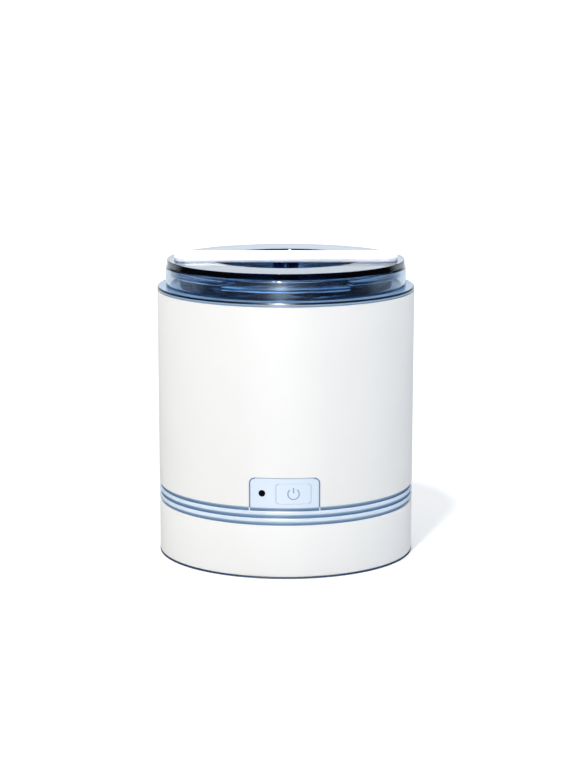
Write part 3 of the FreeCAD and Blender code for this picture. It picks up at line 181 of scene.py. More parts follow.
class Shader:
    """Small helper that adds and links nodes of one material."""

    def __init__(self, name):
        self.material = bpy.data.materials.new(name)
        self.material.use_nodes = True
        self.tree = self.material.node_tree
        self.bsdf = self.tree.nodes["Principled BSDF"]
        self.out = self.tree.nodes["Material Output"]
        self.coords = self.add("ShaderNodeTexCoord").outputs["Object"]

    def add(self, kind, **values):
        """New node; values go to its sockets by name, with spaces written as underscores."""
        node = self.tree.nodes.new(kind)
        for key, value in values.items():
            self.feed(node.inputs[key.replace("_", " ")], value)
        return node

    def feed(self, socket, value):
        """Link or set one input socket."""
        if isinstance(value, bpy.types.NodeSocket):
            self.tree.links.new(value, socket)
        else:
            socket.default_value = value

    def math(self, operation, a, b=0.0):
        """Output of a math node."""
        node = self.tree.nodes.new("ShaderNodeMath")
        node.operation = operation
        self.feed(node.inputs[0], a)
        self.feed(node.inputs[1], b)
        return node.outputs[0]

    def noise(self, scale, detail=3.0, vector=None):
        """Noise value over the object's own coordinates."""
        node = self.add("ShaderNodeTexNoise", Scale=scale, Detail=detail)
        self.feed(node.inputs["Vector"], vector or self.coords)
        return node.outputs[0]

    def ramp(self, value, stops):
        """Colour ramp from (place, colour) stops."""
        node = self.tree.nodes.new("ShaderNodeValToRGB")
        self.feed(node.inputs[0], value)
        while len(node.color_ramp.elements) < len(stops):
            node.color_ramp.elements.new(0.5)
        for element, (place, colour) in zip(node.color_ramp.elements, stops):
            element.position = place
            element.color = colour
        return node.outputs[0]

    def spread(self, value, low, high):
        """Value from 0 to 1 mapped between two levels."""
        node = self.add("ShaderNodeMapRange")
        self.feed(node.inputs["Value"], value)
        node.inputs["To Min"].default_value = low
        node.inputs["To Max"].default_value = high
        return node.outputs[0]

    def axes(self):
        """Radius from the body axis, height and angle share of a point, in metres."""
        parts = self.add("ShaderNodeSeparateXYZ")
        self.feed(parts.inputs[0], self.coords)
        x, y, z = parts.outputs
        radius = self.math("SQRT", self.math("ADD", self.math("MULTIPLY", x, x), self.math("MULTIPLY", y, y)))
        return radius, z, self.math("ARCTAN2", y, x)

    def grain(self, scale, depth, height=None):
        """Fine bump on the surface."""
        bump = self.add("ShaderNodeBump", Strength=1.0, Distance=depth)
        self.feed(bump.inputs["Height"], height or self.noise(scale, 4.0))
        self.feed(self.bsdf.inputs["Normal"], bump.outputs[0])


def finish(name, colour, rough, metal=0.0, mottle=0.03, grain_scale=1800.0, grain_depth=0.000004, ior=1.46, coat=0.0, gloss=0.5):
    """Solid material with slight mottling of colour and gloss and a fine grain."""
    s = Shader(name)
    cloud = s.noise(38.0)
    s.feed(s.bsdf.inputs["Base Color"], s.ramp(cloud, [(0.3, scaled(colour, 1 - mottle)), (0.7, scaled(colour, 1 + mottle))]))
    s.feed(s.bsdf.inputs["Roughness"], s.spread(s.noise(160.0), rough * 0.85, rough * 1.15))
    s.bsdf.inputs["Metallic"].default_value = metal
    s.bsdf.inputs["IOR"].default_value = ior
    s.bsdf.inputs["Coat Weight"].default_value = coat
    s.bsdf.inputs["Specular IOR Level"].default_value = gloss
    s.grain(grain_scale, grain_depth)
    return s


def band_material():
    """Pale blue plastic with painted shade in the groove floors: a deeper blue, darkest along each lower edge."""
    s = finish("pale_blue_band", linear(223, 236, 250), 0.3)
    radius, z, angle = s.axes()
    depth = s.math("SUBTRACT", FOOT_R * MM, radius)
    inside = s.math("GREATER_THAN", depth, 0.45 * MM)
    pitch = (HOUSING_Z - BAND_Z - GROOVE_W) / 2 * MM
    along = s.math("MODULO", s.math("SUBTRACT", z, BAND_Z * MM), pitch)
    share = s.math("DIVIDE", along, GROOVE_W * MM)
    # painted shade: the groove floors get a deeper blue that is darkest along each lower edge
    painted_groove_shade = s.ramp(share, [(0.0, linear(84, 118, 152)), (0.4, linear(116, 148, 182)), (0.9, linear(184, 207, 230))])
    mix = s.tree.nodes.new("ShaderNodeMix")
    mix.data_type = "RGBA"
    s.feed(mix.inputs["Factor"], inside)
    s.feed(mix.inputs[6], s.bsdf.inputs["Base Color"].links[0].from_socket)
    s.feed(mix.inputs[7], painted_groove_shade)
    s.feed(s.bsdf.inputs["Base Color"], mix.outputs[2])
    return s.material


def collar_material():
    """Clear blue plastic of the collar; its outer face is painted in bands: a deep navy band of painted shade, paler
    towards its joint, and a pale rim that is a painted highlight.
    """
    s = finish("clear_blue_collar", linear(128, 156, 186), 0.23, mottle=0.05, ior=1.5)
    radius, z, angle = s.axes()
    share = s.math("DIVIDE", s.math("SUBTRACT", z, TOP_Z * MM), (LEDGE_Z - TOP_Z) * MM)
    # painted light on the outer face: a deep navy band of painted shade and a pale painted highlight along the rim
    painted_light_bands = s.ramp(share, [
        (0.1, linear(120, 150, 182)), (0.3, linear(132, 160, 190)), (0.5, linear(170, 192, 214)),
        (0.57, linear(8, 24, 44)), (0.97, linear(8, 24, 44)), (1.0, linear(158, 182, 206)),
    ])
    outside = s.math("GREATER_THAN", radius, (COLLAR_R - 0.6) * MM)
    mix = s.tree.nodes.new("ShaderNodeMix")
    mix.data_type = "RGBA"
    s.feed(mix.inputs["Factor"], outside)
    s.feed(mix.inputs[6], s.bsdf.inputs["Base Color"].links[0].from_socket)
    s.feed(mix.inputs[7], painted_light_bands)
    s.feed(s.bsdf.inputs["Base Color"], mix.outputs[2])
    return s.material


def neck_material():
    """Deep blue of the neck behind the lid's skirt, with streaks round the axis whose lighter ones are painted
    highlights.
    """
    s = Shader("neck_blue")
    radius, z, angle = s.axes()
    place_on = s.add("ShaderNodeCombineXYZ")
    s.feed(place_on.inputs[0], s.math("MULTIPLY", angle, 0.012))
    s.feed(place_on.inputs[2], s.math("MULTIPLY", z, 2.4))
    streaks_and_painted_highlights = s.noise(420.0, 3.0, place_on.outputs[0])
    # the lightest streaks are painted highlights
    s.feed(s.bsdf.inputs["Base Color"], s.ramp(streaks_and_painted_highlights, [
        (0.42, linear(2, 6, 12)), (0.55, linear(9, 20, 35)), (0.7, linear(44, 66, 92)),
    ]))
    s.feed(s.bsdf.inputs["Roughness"], s.spread(streaks_and_painted_highlights, 0.2, 0.3))
    s.bsdf.inputs["IOR"].default_value = 1.5
    s.grain(900.0, 0.00001)
    return s.material


def guide_material(name, low):
    """Deep blue guide segment with painted highlights along its upper and lower edges."""
    s = finish(name, linear(28, 54, 84), 0.2, mottle=0.2, ior=1.5)
    radius, z, angle = s.axes()
    share = s.math("DIVIDE", s.math("SUBTRACT", z, low * MM), GUIDE_T * MM)
    # painted highlights: paler bands along the lower and upper edges, dimmed in noise patches round the axis
    painted_light_bands = s.ramp(share, [
        (0.0, linear(104, 130, 158)), (0.22, linear(112, 138, 166)), (0.36, linear(18, 38, 60)),
        (0.7, linear(14, 32, 52)), (0.84, linear(66, 92, 120)), (1.0, linear(66, 92, 120)),
    ])
    place_on = s.add("ShaderNodeCombineXYZ")
    s.feed(place_on.inputs[0], angle)
    s.feed(place_on.inputs[2], s.math("MULTIPLY", z, 300.0))
    patches = s.ramp(s.noise(2.6, 1.0, place_on.outputs[0]), [(0.42, (0.3, 0.33, 0.36, 1)), (0.58, (1, 1, 1, 1))])
    mix = s.tree.nodes.new("ShaderNodeMix")
    mix.data_type = "RGBA"
    mix.blend_type = "MULTIPLY"
    mix.inputs["Factor"].default_value = 1.0
    s.feed(mix.inputs[6], painted_light_bands)
    s.feed(mix.inputs[7], patches)
    s.feed(s.bsdf.inputs["Base Color"], mix.outputs[2])
    return s.material


def steel_material():
    """Drawn stainless steel with fine lines round the axis."""
    s = Shader("tank_steel")
    radius, z, angle = s.axes()
    stretched = s.add("ShaderNodeCombineXYZ")
    s.feed(stretched.inputs[0], s.math("MULTIPLY", angle, 0.02))
    s.feed(stretched.inputs[1], s.math("MULTIPLY", radius, 3.0))
    s.feed(stretched.inputs[2], s.math("MULTIPLY", z, 3.0))
    lines = s.noise(900.0, 5.0, stretched.outputs[0])
    s.feed(s.bsdf.inputs["Base Color"], s.ramp(lines, [(0.3, (0.52, 0.54, 0.57, 1)), (0.7, (0.68, 0.70, 0.72, 1))]))
    s.feed(s.bsdf.inputs["Roughness"], s.spread(lines, 0.16, 0.3))
    s.bsdf.inputs["Metallic"].default_value = 1.0
    s.grain(0, 0.000006, lines)
    return s.material


def clear_material(name, tint, density, painted_foot_shade_line=False):
    """Clear plastic whose tint deepens with thickness; the skirt has a dark line of painted shade along its foot."""
    s = Shader(name)
    s.bsdf.inputs["Base Color"].default_value = (0.93, 0.97, 1.0, 1)
    if painted_foot_shade_line:
        radius, z, angle = s.axes()
        share = s.math("DIVIDE", s.math("SUBTRACT", z, LEDGE_Z * MM), (SKIRT_TOP_Z - LEDGE_Z) * MM)
        # painted shade: a dark line along the skirt's foot where it meets the ledge
        s.feed(s.bsdf.inputs["Base Color"], s.ramp(share, [
            (0.01, (0.4, 0.52, 0.64, 1)), (0.025, (0.10, 0.17, 0.26, 1)), (0.11, (0.10, 0.17, 0.26, 1)),
            (0.15, (0.93, 0.97, 1.0, 1)),
        ]))
    s.bsdf.inputs["Transmission Weight"].default_value = 1.0
    s.bsdf.inputs["IOR"].default_value = 1.52
    s.feed(s.bsdf.inputs["Roughness"], s.spread(s.noise(90.0), 0.015, 0.05))
    s.grain(260.0, 0.000003)
    clear = s.add("ShaderNodeBsdfTransparent", Color=(0.9, 0.94, 1.0, 1))
    light = s.add("ShaderNodeLightPath")
    mix = s.add("ShaderNodeMixShader")
    s.feed(mix.inputs[0], light.outputs["Is Shadow Ray"])
    s.feed(mix.inputs[1], s.bsdf.outputs[0])
    s.feed(mix.inputs[2], clear.outputs[0])
    s.feed(s.out.inputs["Surface"], mix.outputs[0])
    volume = s.add("ShaderNodeVolumeAbsorption", Color=tint, Density=density)
    s.feed(s.out.inputs["Volume"], volume.outputs[0])
    return s.material


def board_material():
    """Green circuit board with paler tracks under the mask."""
    s = Shader("board")
    tracks = s.add("ShaderNodeTexBrick", Scale=170.0)
    s.feed(tracks.inputs["Vector"], s.coords)
    tracks.inputs["Color1"].default_value = (0.012, 0.11, 0.05, 1)
    tracks.inputs["Color2"].default_value = (0.016, 0.14, 0.06, 1)
    tracks.inputs["Mortar"].default_value = (0.04, 0.24, 0.10, 1)
    s.feed(s.bsdf.inputs["Base Color"], tracks.outputs["Color"])
    s.bsdf.inputs["Roughness"].default_value = 0.35
    s.grain(900.0, 0.00001)
    return s.material


def winding_material():
    """Copper turns seen as fine ridges."""
    s = finish("copper_tape", (0.62, 0.30, 0.11, 1), 0.35, metal=0.8)
    wave = s.add("ShaderNodeTexWave", Scale=420.0, Distortion=0.4)
    s.feed(wave.inputs["Vector"], s.coords)
    s.grain(0, 0.00008, wave.outputs["Fac"])
    return s.material


def make_materials():
    """All materials by the record's slot names, with two extra ones."""
    made = {
        "white_shell": finish("white_shell", linear(244, 243, 241), 0.5, mottle=0.008, gloss=0.12).material,
        "pale_blue": finish("pale_blue", linear(223, 236, 250), 0.3, mottle=0.012).material,
        "pale_blue_band": band_material(),
        "clear_blue": finish("clear_blue", linear(120, 155, 195), 0.12, mottle=0.03, ior=1.5, coat=0.6).material,
        "collar_blue": collar_material(),
        "neck_blue": neck_material(),
        "guide_front": guide_material("guide_front", GUIDE_FRONT_Z),
        "guide_side": guide_material("guide_side", GUIDE_SIDE_Z),
        "smoked_clear": clear_material("smoked_clear", (0.08, 0.34, 0.56, 1), 420.0),
        # the skirt's material carries a painted shade line along its foot
        "skirt_clear": clear_material("skirt_clear", (0.0, 0.34, 0.62, 1), 90.0, True),
        "white_bar": finish("white_bar", linear(248, 249, 250), 0.16, mottle=0.008, coat=0.4).material,
        "tank_steel": steel_material(),
        "silicone": finish("silicone", (0.62, 0.66, 0.70, 1), 0.5, grain_depth=0.00001).material,
        "basket_plastic": finish("basket_plastic", linear(205, 220, 236), 0.42, grain_depth=0.00001).material,
        "dark_cover": finish("dark_cover", linear(46, 72, 102), 0.5, grain_scale=1200.0, grain_depth=0.00002).material,
        "foot_rubber": finish("foot_rubber", (0.02, 0.022, 0.028, 1), 0.75, grain_scale=900.0, grain_depth=0.00003).material,
        # the next two colours are painted gap shade for the lines round the panel and the button
        "panel_gap_shade_blue": finish("panel_gap_shade_blue", linear(92, 128, 170), 0.35).material,
        "button_gap_shade_pale": finish("button_gap_shade_pale", linear(150, 176, 208), 0.35).material,
        # navy for the ring under the base: partly the bottom cover's rim, partly painted shadow of the gap
        "foot_navy": finish("foot_navy", linear(10, 58, 98), 0.6).material,
        "lens_dark": finish("lens_dark", (0.002, 0.003, 0.006, 1), 0.12, mottle=0.2).material,
        "sign_ink": finish("sign_ink", linear(142, 166, 194), 0.4).material,
        "lamp_epoxy": finish("lamp_epoxy", (0.70, 0.76, 0.82, 1), 0.12).material,
        "board": board_material(),
        "black_plastic": finish("black_plastic", (0.016, 0.017, 0.02, 1), 0.42, grain_depth=0.00002).material,
        "screw_steel": finish("screw_steel", (0.56, 0.57, 0.60, 1), 0.26, metal=1.0).material,
        "ceramic": finish("ceramic", (0.62, 0.58, 0.47, 1), 0.6).material,
        "light_metal": finish("light_metal", (0.66, 0.67, 0.69, 1), 0.32, metal=1.0, grain_depth=0.00001).material,
        "contact_brass": finish("contact_brass", (0.72, 0.50, 0.20, 1), 0.24, metal=1.0).material,
        "ferrite": finish("ferrite", (0.04, 0.04, 0.045, 1), 0.65, grain_depth=0.00002).material,
        "copper_tape": winding_material(),
        "can_sleeve": finish("can_sleeve", (0.03, 0.04, 0.16, 1), 0.22).material,
        "film_case": finish("film_case", (0.42, 0.03, 0.02, 1), 0.25).material,
        "lead_sleeve": finish("lead_sleeve", (0.36, 0.03, 0.03, 1), 0.4).material,
    }
    return made


# Meshes


def rounded(points, steps=4):
    """Profile points (radius, height, rounding) with each rounding turned into an arc."""
    count = len(points)
    out = []
    for i, point in enumerate(points):
        corner = Vector((point[0], point[1]))
        radius = point[2] if len(point) > 2 else 0
        if not radius:
            out.append((corner.x, corner.y))
            continue
        back = (Vector(points[i - 1][:2]) - corner).normalized()
        ahead = (Vector(points[(i + 1) % count][:2]) - corner).normalized()
        half = back.angle(ahead) / 2
        centre = corner + (back + ahead).normalized() * (radius / math.sin(half))
        first = corner + back * (radius / math.tan(half)) - centre
        last = corner + ahead * (radius / math.tan(half)) - centre
        sweep = first.angle(last)
        for k in range(steps + 1):
            t = k / steps
            arm = (first * math.sin((1 - t) * sweep) + last * math.sin(t * sweep)) / math.sin(sweep)
            out.append((centre.x + arm.x, centre.y + arm.y))
    return out


def add_object(name, vertices, faces, material, smooth_angle=32.0):
    """Mesh object from millimetre points, smooth except at sharp edges."""
    mesh = bpy.data.meshes.new(name)
    mesh.from_pydata([[c * MM for c in v] for v in vertices], [], faces)
    work = bmesh.new()
    work.from_mesh(mesh)
    bmesh.ops.remove_doubles(work, verts=work.verts, dist=1e-7)
    bmesh.ops.recalc_face_normals(work, faces=work.faces)
    work.to_mesh(mesh)
    work.free()
    mesh.shade_smooth()
    mesh.set_sharp_from_angle(angle=math.radians(smooth_angle))
    mesh.materials.append(material)
    piece = bpy.data.objects.new(name, mesh)
    bpy.context.scene.collection.objects.link(piece)
    return piece


def lathe(name, points, material, start=0.0, sweep=360.0):
    """Closed profile turned about the body axis, whole or through part of a turn."""
    profile = rounded(points)
    whole = sweep >= 360.0
    count = TURNS if whole else max(2, round(TURNS * sweep / 360.0))
    rows = count if whole else count + 1
    vertices = []
    for i in range(rows):
        angle = math.radians(start + sweep * i / count)
        vertices += [(r * math.cos(angle), r * math.sin(angle), z) for r, z in profile]
    n = len(profile)
    faces = []
    for i in range(count):
        a = i * n
        b = ((i + 1) % rows) * n
        for j in range(n):
            k = (j + 1) % n
            ring = [a + j, b + j, b + k, a + k]
            if profile[j][0] < 1e-9 and profile[k][0] < 1e-9:
                continue
            if profile[j][0] < 1e-9:
                ring = [a + j, b + k, a + k]
            elif profile[k][0] < 1e-9:
                ring = [a + j, b + j, a + k]
            faces.append(ring)
    if not whole:
        faces.append(list(range(n)))
        faces.append([count * n + j for j in range(n)][::-1])
    return add_object(name, vertices, faces, material)


def round_outline(x_low, x_high, z_low, z_high, r_low, r_high, steps=8):
    """Outline points of a rectangle with rounded corners, in x and z."""
    points = []
    for x, z, r, first in (
        (x_high, z_low, r_low, -90), (x_high, z_high, r_high, 0),
        (x_low, z_high, r_high, 90), (x_low, z_low, r_low, 180),
    ):
        if r <= 0:
            points.append((x, z))
            continue
        cx = x - r if x == x_high else x + r
        cz = z - r if z == z_high else z + r
        for k in range(steps + 1):
            angle = math.radians(first + 90 * k / steps)
            points.append((cx + r * math.cos(angle), cz + r * math.sin(angle)))
    return points


def prism_y(name, outline, y_front, y_back, material):
    """Outline in x and z run from front to back."""
    n = len(outline)
    vertices = [(x, y_front, z) for x, z in outline] + [(x, y_back, z) for x, z in outline]
    faces = [list(range(n))[::-1], list(range(n, 2 * n))]
    faces += [[i, (i + 1) % n, n + (i + 1) % n, n + i] for i in range(n)]
    return add_object(name, vertices, faces, material)


def cut(piece, cutter):
    """Take the cutter out of the piece and delete it."""
    modifier = piece.modifiers.new("cut", "BOOLEAN")
    modifier.operation = "DIFFERENCE"
    modifier.solver = "EXACT"
    modifier.object = cutter
    graph = bpy.context.evaluated_depsgraph_get()
    mesh = bpy.data.meshes.new_from_object(piece.evaluated_get(graph))
    piece.modifiers.clear()
    piece.data = mesh
    mesh.shade_smooth()
    mesh.set_sharp_from_angle(angle=math.radians(32))
    bpy.data.objects.remove(cutter)
    return piece


def even_normals(piece):
    """Keep the flat faces flat beside their rounded edges."""
    modifier = piece.modifiers.new("even", "WEIGHTED_NORMAL")
    modifier.keep_sharp = True
    return piece


def soften(piece, width, steps=2, angle=40.0):
    """Round the piece's sharp edges a little."""
    modifier = piece.modifiers.new("soften", "BEVEL")
    modifier.width = width * MM
    modifier.segments = steps
    modifier.limit_method = "ANGLE"
    modifier.angle_limit = math.radians(angle)
    modifier.harden_normals = True
    return piece


def place(piece, body, slot, *nodes):
    """Hand a finished piece to its body and hide the nodes it stands for; the slot is not used."""
    if not piece.modifiers:
        even_normals(piece)
    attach(piece, body)
    if nodes:
        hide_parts(*nodes)
    return piece


def make_body(mats):
    """White housing and base, the ribbed band between them."""
    white = mats["white_shell"]
    e = SOFT_EDGE
    housing = lathe("housing_skin", [
        (body_r(HOUSING_Z) - WALL, HOUSING_Z), (body_r(HOUSING_Z), HOUSING_Z, e),
        (TOP_R, TOP_Z, e), (TOP_R - WALL, TOP_Z),
    ], white)
    g = PANEL_GAP
    outline = round_outline(
        PANEL_X - PANEL_W / 2 - g, PANEL_X + PANEL_W / 2 + g, HOUSING_Z - 2, HOUSING_Z + PANEL_H + g,
        0, PANEL_CORNER + g,
    )
    cut(housing, prism_y("notch", outline, -TOP_R - 5, -TOP_R + 12, white))
    soften(housing, 0.22)
    place(housing, "root", "white_shell", "upper_housing")
    base = lathe("base_skin", [
        (body_r(FOOT_Z) - WALL, SKIN_FOOT_Z), (body_r(FOOT_Z), SKIN_FOOT_Z, e),
        (body_r(BAND_Z), BAND_Z, e), (body_r(BAND_Z) - WALL, BAND_Z),
    ], white)
    hole = [
        (JACK_HOLE_R * math.cos(2 * math.pi * k / 48), JACK_Z + JACK_HOLE_R * math.sin(2 * math.pi * k / 48))
        for k in range(48)
    ]
    cut(base, prism_y("jack_hole", hole, 45, 65, white))
    soften(base, 0.2)
    place(base, "root", "white_shell", "base_shell")
    # The navy ring under the base is partly the dark bottom cover's rim and partly painted shadow filling the gap
    # under the base.
    foot = lathe("painted_foot_shade_line", [
        (FOOT_LINE_R - FOOT_LINE_W, FOOT_LINE_Z), (FOOT_LINE_R, FOOT_LINE_Z, 0.1), (FOOT_LINE_R, SKIN_FOOT_Z),
        (FOOT_LINE_R - FOOT_LINE_W, SKIN_FOOT_Z),
    ], mats["foot_navy"])
    place(foot, "root", "dark_cover")
    core = body_r(BAND_Z) - GROOVE_DEPTH
    lip_out = body_r(BAND_Z) - WALL - LIP_GAP
    rib = (HOUSING_Z - BAND_Z - 3 * GROOVE_W) / 2
    points = [(lip_out - LIP_T, BAND_Z - LIP_H), (lip_out, BAND_Z - LIP_H), (lip_out, BAND_Z), (core, BAND_Z)]
    for i in range(2):
        low = BAND_Z + GROOVE_W + i * (GROOVE_W + rib)
        high = low + rib
        points += [(core, low, 0.15), (body_r(low), low, 0.3), (body_r(high), high, 0.3), (core, high, 0.15)]
    points += [(core, HOUSING_Z), (lip_out, HOUSING_Z), (lip_out - LIP_T, HOUSING_Z)]
    band = lathe("band_skin", points, mats["pale_blue_band"])
    place(band, "root", "pale_blue", "accent_band")


def curved_strip(name, outer, inner, material, closed, proud=LINE_PROUD):
    """Thin curved strip between two outlines on the body's front."""
    n = len(outer)
    vertices = []
    for outline, rise in ((outer, proud), (inner, proud), (inner, -LINE_T), (outer, -LINE_T)):
        for x, z in outline:
            vertices.append((x, -math.sqrt((body_r(z) + rise) ** 2 - x ** 2), z))
    faces = []
    for i in range(n if closed else n - 1):
        k = (i + 1) % n
        for loop in range(4):
            after = (loop + 1) % 4
            faces.append([loop * n + i, loop * n + k, after * n + k, after * n + i])
    if not closed:
        faces.append([loop * n for loop in range(4)])
        faces.append([loop * n + n - 1 for loop in range(4)][::-1])
    return add_object(name, vertices, faces, material)


def make_front_lines(mats):
    """Blue lines of painted gap shade round the panel and the button, and the two ticks under the panel's sides."""
    left, right = PANEL_X - PANEL_W / 2, PANEL_X + PANEL_W / 2
    top = HOUSING_Z + PANEL_H
    g, w = PANEL_GAP, LINE_INSET
    outer = round_outline(left - g, right + g, HOUSING_Z, top + g, 0, PANEL_CORNER + g)
    inner = round_outline(left + w, right - w, HOUSING_Z, top - w, 0, PANEL_CORNER - w)
    # painted shade: a blue strip over the gap round the panel
    place(curved_strip("panel_gap_shade_line", outer, inner, mats["panel_gap_shade_blue"], False), "root", "pale_blue")
    sides = (BUTTON_X - BUTTON_W / 2, BUTTON_X + BUTTON_W / 2, BUTTON_Z - BUTTON_H / 2, BUTTON_Z + BUTTON_H / 2)
    rings = []
    for inset in (-BUTTON_GAP, -0.02, 0.02, BUTTON_LINE):
        r = BUTTON_CORNER - inset
        rings.append(round_outline(sides[0] + inset, sides[1] - inset, sides[2] + inset, sides[3] - inset, r, r))
    gap = curved_strip("button_gap", rings[0], rings[1], mats["pale_blue"], True, -0.1)
    place(gap, "root", "pale_blue")
    # painted shade: a pale blue line just inside the button's edge, beside its gap
    place(curved_strip("button_gap_shade_line", rings[2], rings[3], mats["button_gap_shade_pale"], True), "button", "pale_blue")
    for index, x in enumerate((left - PANEL_GAP / 2, right + PANEL_GAP / 2)):
        low, high = HOUSING_Z - GROOVE_W, HOUSING_Z
        outline = [(x - TICK_W / 2, low), (x + TICK_W / 2, low), (x + TICK_W / 2, high), (x - TICK_W / 2, high)]
        front = -math.sqrt(body_r(low) ** 2 - x ** 2) + 0.15
        tick = prism_y("tick_%d" % (index + 1), outline, front, front + GROOVE_DEPTH, mats["pale_blue"])
        place(tick, "root", "pale_blue")


def make_sign(mats):
    """Power sign on the button: an open ring with a short upright line."""
    surface = body_r(BUTTON_Z) + SIGN_PROUD
    half = SIGN_LINE / 2
    vertices = []
    faces = []

    def strip(pairs):
        first = len(vertices)
        for a, b in pairs:
            for x, z in (a, b):
                y = -math.sqrt(surface ** 2 - (BUTTON_X + x) ** 2)
                vertices.append((BUTTON_X + x, y, BUTTON_Z + z))
        for i in range(len(pairs) - 1):
            a = first + 2 * i
            faces.append([a, a + 1, a + 3, a + 2])

    ring = []
    steps = 48
    for i in range(steps + 1):
        angle = math.radians(90 + SIGN_GAP_ANGLE + (360 - 2 * SIGN_GAP_ANGLE) * i / steps)
        c, s = math.cos(angle), math.sin(angle)
        ring.append((((SIGN_R - half) * c, (SIGN_R - half) * s), ((SIGN_R + half) * c, (SIGN_R + half) * s)))
    strip(ring)
    strip([((-half, SIGN_R * 0.12 + i * 0.4), (half, SIGN_R * 0.12 + i * 0.4)) for i in range(7)])
    sign = add_object("power_sign", vertices, faces, mats["sign_ink"])
    thick = sign.modifiers.new("thick", "SOLIDIFY")
    thick.thickness = 0.06 * MM
    place(sign, "button", "pale_blue")


def make_collar(mats):
    """Collar ring with its snap spigot, the neck and the four guide segments."""
    collar = lathe("collar_skin", [
        (NECK_R - 0.2, TOP_Z), (SPIGOT_IN_R, TOP_Z), (SPIGOT_IN_R, SPIGOT_LOW_Z), (SPIGOT_OUT_R, SPIGOT_LOW_Z),
        (SPIGOT_OUT_R, TOP_Z), (COLLAR_R, TOP_Z, 0.3), (COLLAR_R, LEDGE_Z, 0.6), (NECK_R - 0.2, LEDGE_Z),
    ], mats["collar_blue"])
    place(collar, "root", "clear_blue", "collar_ring")
    neck = lathe("neck_skin", [
        (NECK_IN_R, TOP_Z), (NECK_R, TOP_Z), (NECK_R, NECK_TOP_Z, 0.3), (NECK_IN_R, NECK_TOP_Z, 0.3),
    ], mats["neck_blue"])
    place(neck, "root", "clear_blue")
    for index, (middle, sweep, low, look) in enumerate((
        (270.0, 64.0, GUIDE_FRONT_Z, "guide_front"), (90.0, 64.0, GUIDE_FRONT_Z, "guide_front"),
        (0.0, 112.8, GUIDE_SIDE_Z, "guide_side"), (180.0, 112.8, GUIDE_SIDE_Z, "guide_side"),
    )):
        guide = lathe("guide_segment_%d" % (index + 1), [
            (NECK_R - 0.5, low), (GUIDE_R, low, 0.5), (GUIDE_R, low + GUIDE_T, 0.5), (NECK_R - 0.5, low + GUIDE_T),
        ], mats[look], middle - sweep / 2, sweep)
        place(guide, "root", "clear_blue")


def make_tank(mats):
    """Drawn steel tank with a rolled rim."""
    under = TANK_RIM_Z - TANK_WALL
    out_r = TANK_R + TANK_WALL
    tank = lathe("tank_skin", [
        (0, TANK_FLOOR_Z - TANK_WALL), (out_r, TANK_FLOOR_Z - TANK_WALL, TANK_CORNER + TANK_WALL),
        (out_r, under), (TANK_FLANGE_R, under, 0.2), (TANK_FLANGE_R, TANK_RIM_Z, 0.3),
        (TANK_R, TANK_RIM_Z, 0.7), (TANK_R, TANK_FLOOR_Z, TANK_CORNER), (0, TANK_FLOOR_Z),
    ], mats["tank_steel"])
    place(tank, "root", "tank_steel", "tank")


def make_lid(mats):
    """Smoked lid with its finger well and post, and the white bar across it."""
    lid = lathe("lid_skin", [
        (0, WELL_UNDER_Z), (WELL_LOW_R + WELL_WALL, WELL_UNDER_Z, 2.4), (WELL_R + WELL_WALL, PLATE_Z, 0.5),
        (PLATE_R, PLATE_Z, 0.15), (PLATE_R, LID_TOP_Z, 0.25),
        (WELL_R, LID_TOP_Z, 0.2), (WELL_LOW_R, WELL_FLOOR_Z, 1.5), (LID_POST_R, WELL_FLOOR_Z, 0.5),
        (LID_POST_R, LID_TOP_Z), (0, LID_TOP_Z),
    ], mats["smoked_clear"])
    place(lid, "lid", "smoked_clear", "lid_shell")
    skirt = lathe("skirt_skin", [
        (SKIRT_IN_R, LEDGE_Z + 0.05, 0.3), (SKIRT_R, LEDGE_Z + 0.05, 0.5), (SKIRT_R, SKIRT_TOP_Z, 0.5),
        (PLATE_R, SKIRT_TOP_Z + 0.2), (PLATE_R - 0.2, PLATE_Z - SEAM), (SKIRT_IN_R, PLATE_Z - SEAM),
    ], mats["skirt_clear"])
    place(skirt, "lid", "smoked_clear")
    inner_r = BAR_END_R - BAR_CORNER
    side_y = BAR_HALF_W - BAR_CORNER
    centre_x = math.sqrt(inner_r ** 2 - side_y ** 2)
    lean = math.degrees(math.atan2(side_y, centre_x))
    outline = []
    for side in (0, 180):
        turned = []
        for k in range(13):
            angle = math.radians(-90 + (90 - lean) * k / 12)
            turned.append((centre_x + BAR_CORNER * math.cos(angle), -side_y + BAR_CORNER * math.sin(angle)))
        for k in range(1, 24):
            angle = math.radians(-lean + 2 * lean * k / 24)
            turned.append((BAR_END_R * math.cos(angle), BAR_END_R * math.sin(angle)))
        for k in range(13):
            angle = math.radians(lean + (90 - lean) * k / 12)
            turned.append((centre_x + BAR_CORNER * math.cos(angle), side_y + BAR_CORNER * math.sin(angle)))
        sign = 1 if side == 0 else -1
        outline += [(sign * x, sign * y) for x, y in turned]
    n = len(outline)
    vertices = []
    layers = []
    for k in range(6):
        angle = math.radians(90 * k / 5)
        layers.append((BAR_EDGE * (1 - math.cos(angle)), LID_TOP_Z + BAR_T - BAR_EDGE + BAR_EDGE * math.sin(angle)))
    for inset, z in [(BAR_UNDERCUT, LID_TOP_Z), (BAR_UNDERCUT, LID_TOP_Z + 0.25), (0.0, LID_TOP_Z + 0.4)] + layers:
        for i in range(n):
            before = Vector(outline[i - 1])
            after = Vector(outline[(i + 1) % n])
            along = (after - before).normalized()
            vertices.append((outline[i][0] - along.y * inset, outline[i][1] + along.x * inset, z))
    faces = [list(range(n))[::-1]]
    for layer in range(len(layers) + 2):
        a = layer * n
        faces += [[a + i, a + (i + 1) % n, a + n + (i + 1) % n, a + n + i] for i in range(n)]
    top = (len(layers) + 2) * n
    faces.append(list(range(top, top + n)))
    bar = add_object("bar_skin", vertices, faces, mats["white_bar"])
    place(bar, "lid", "white_bar", "lid_handle")


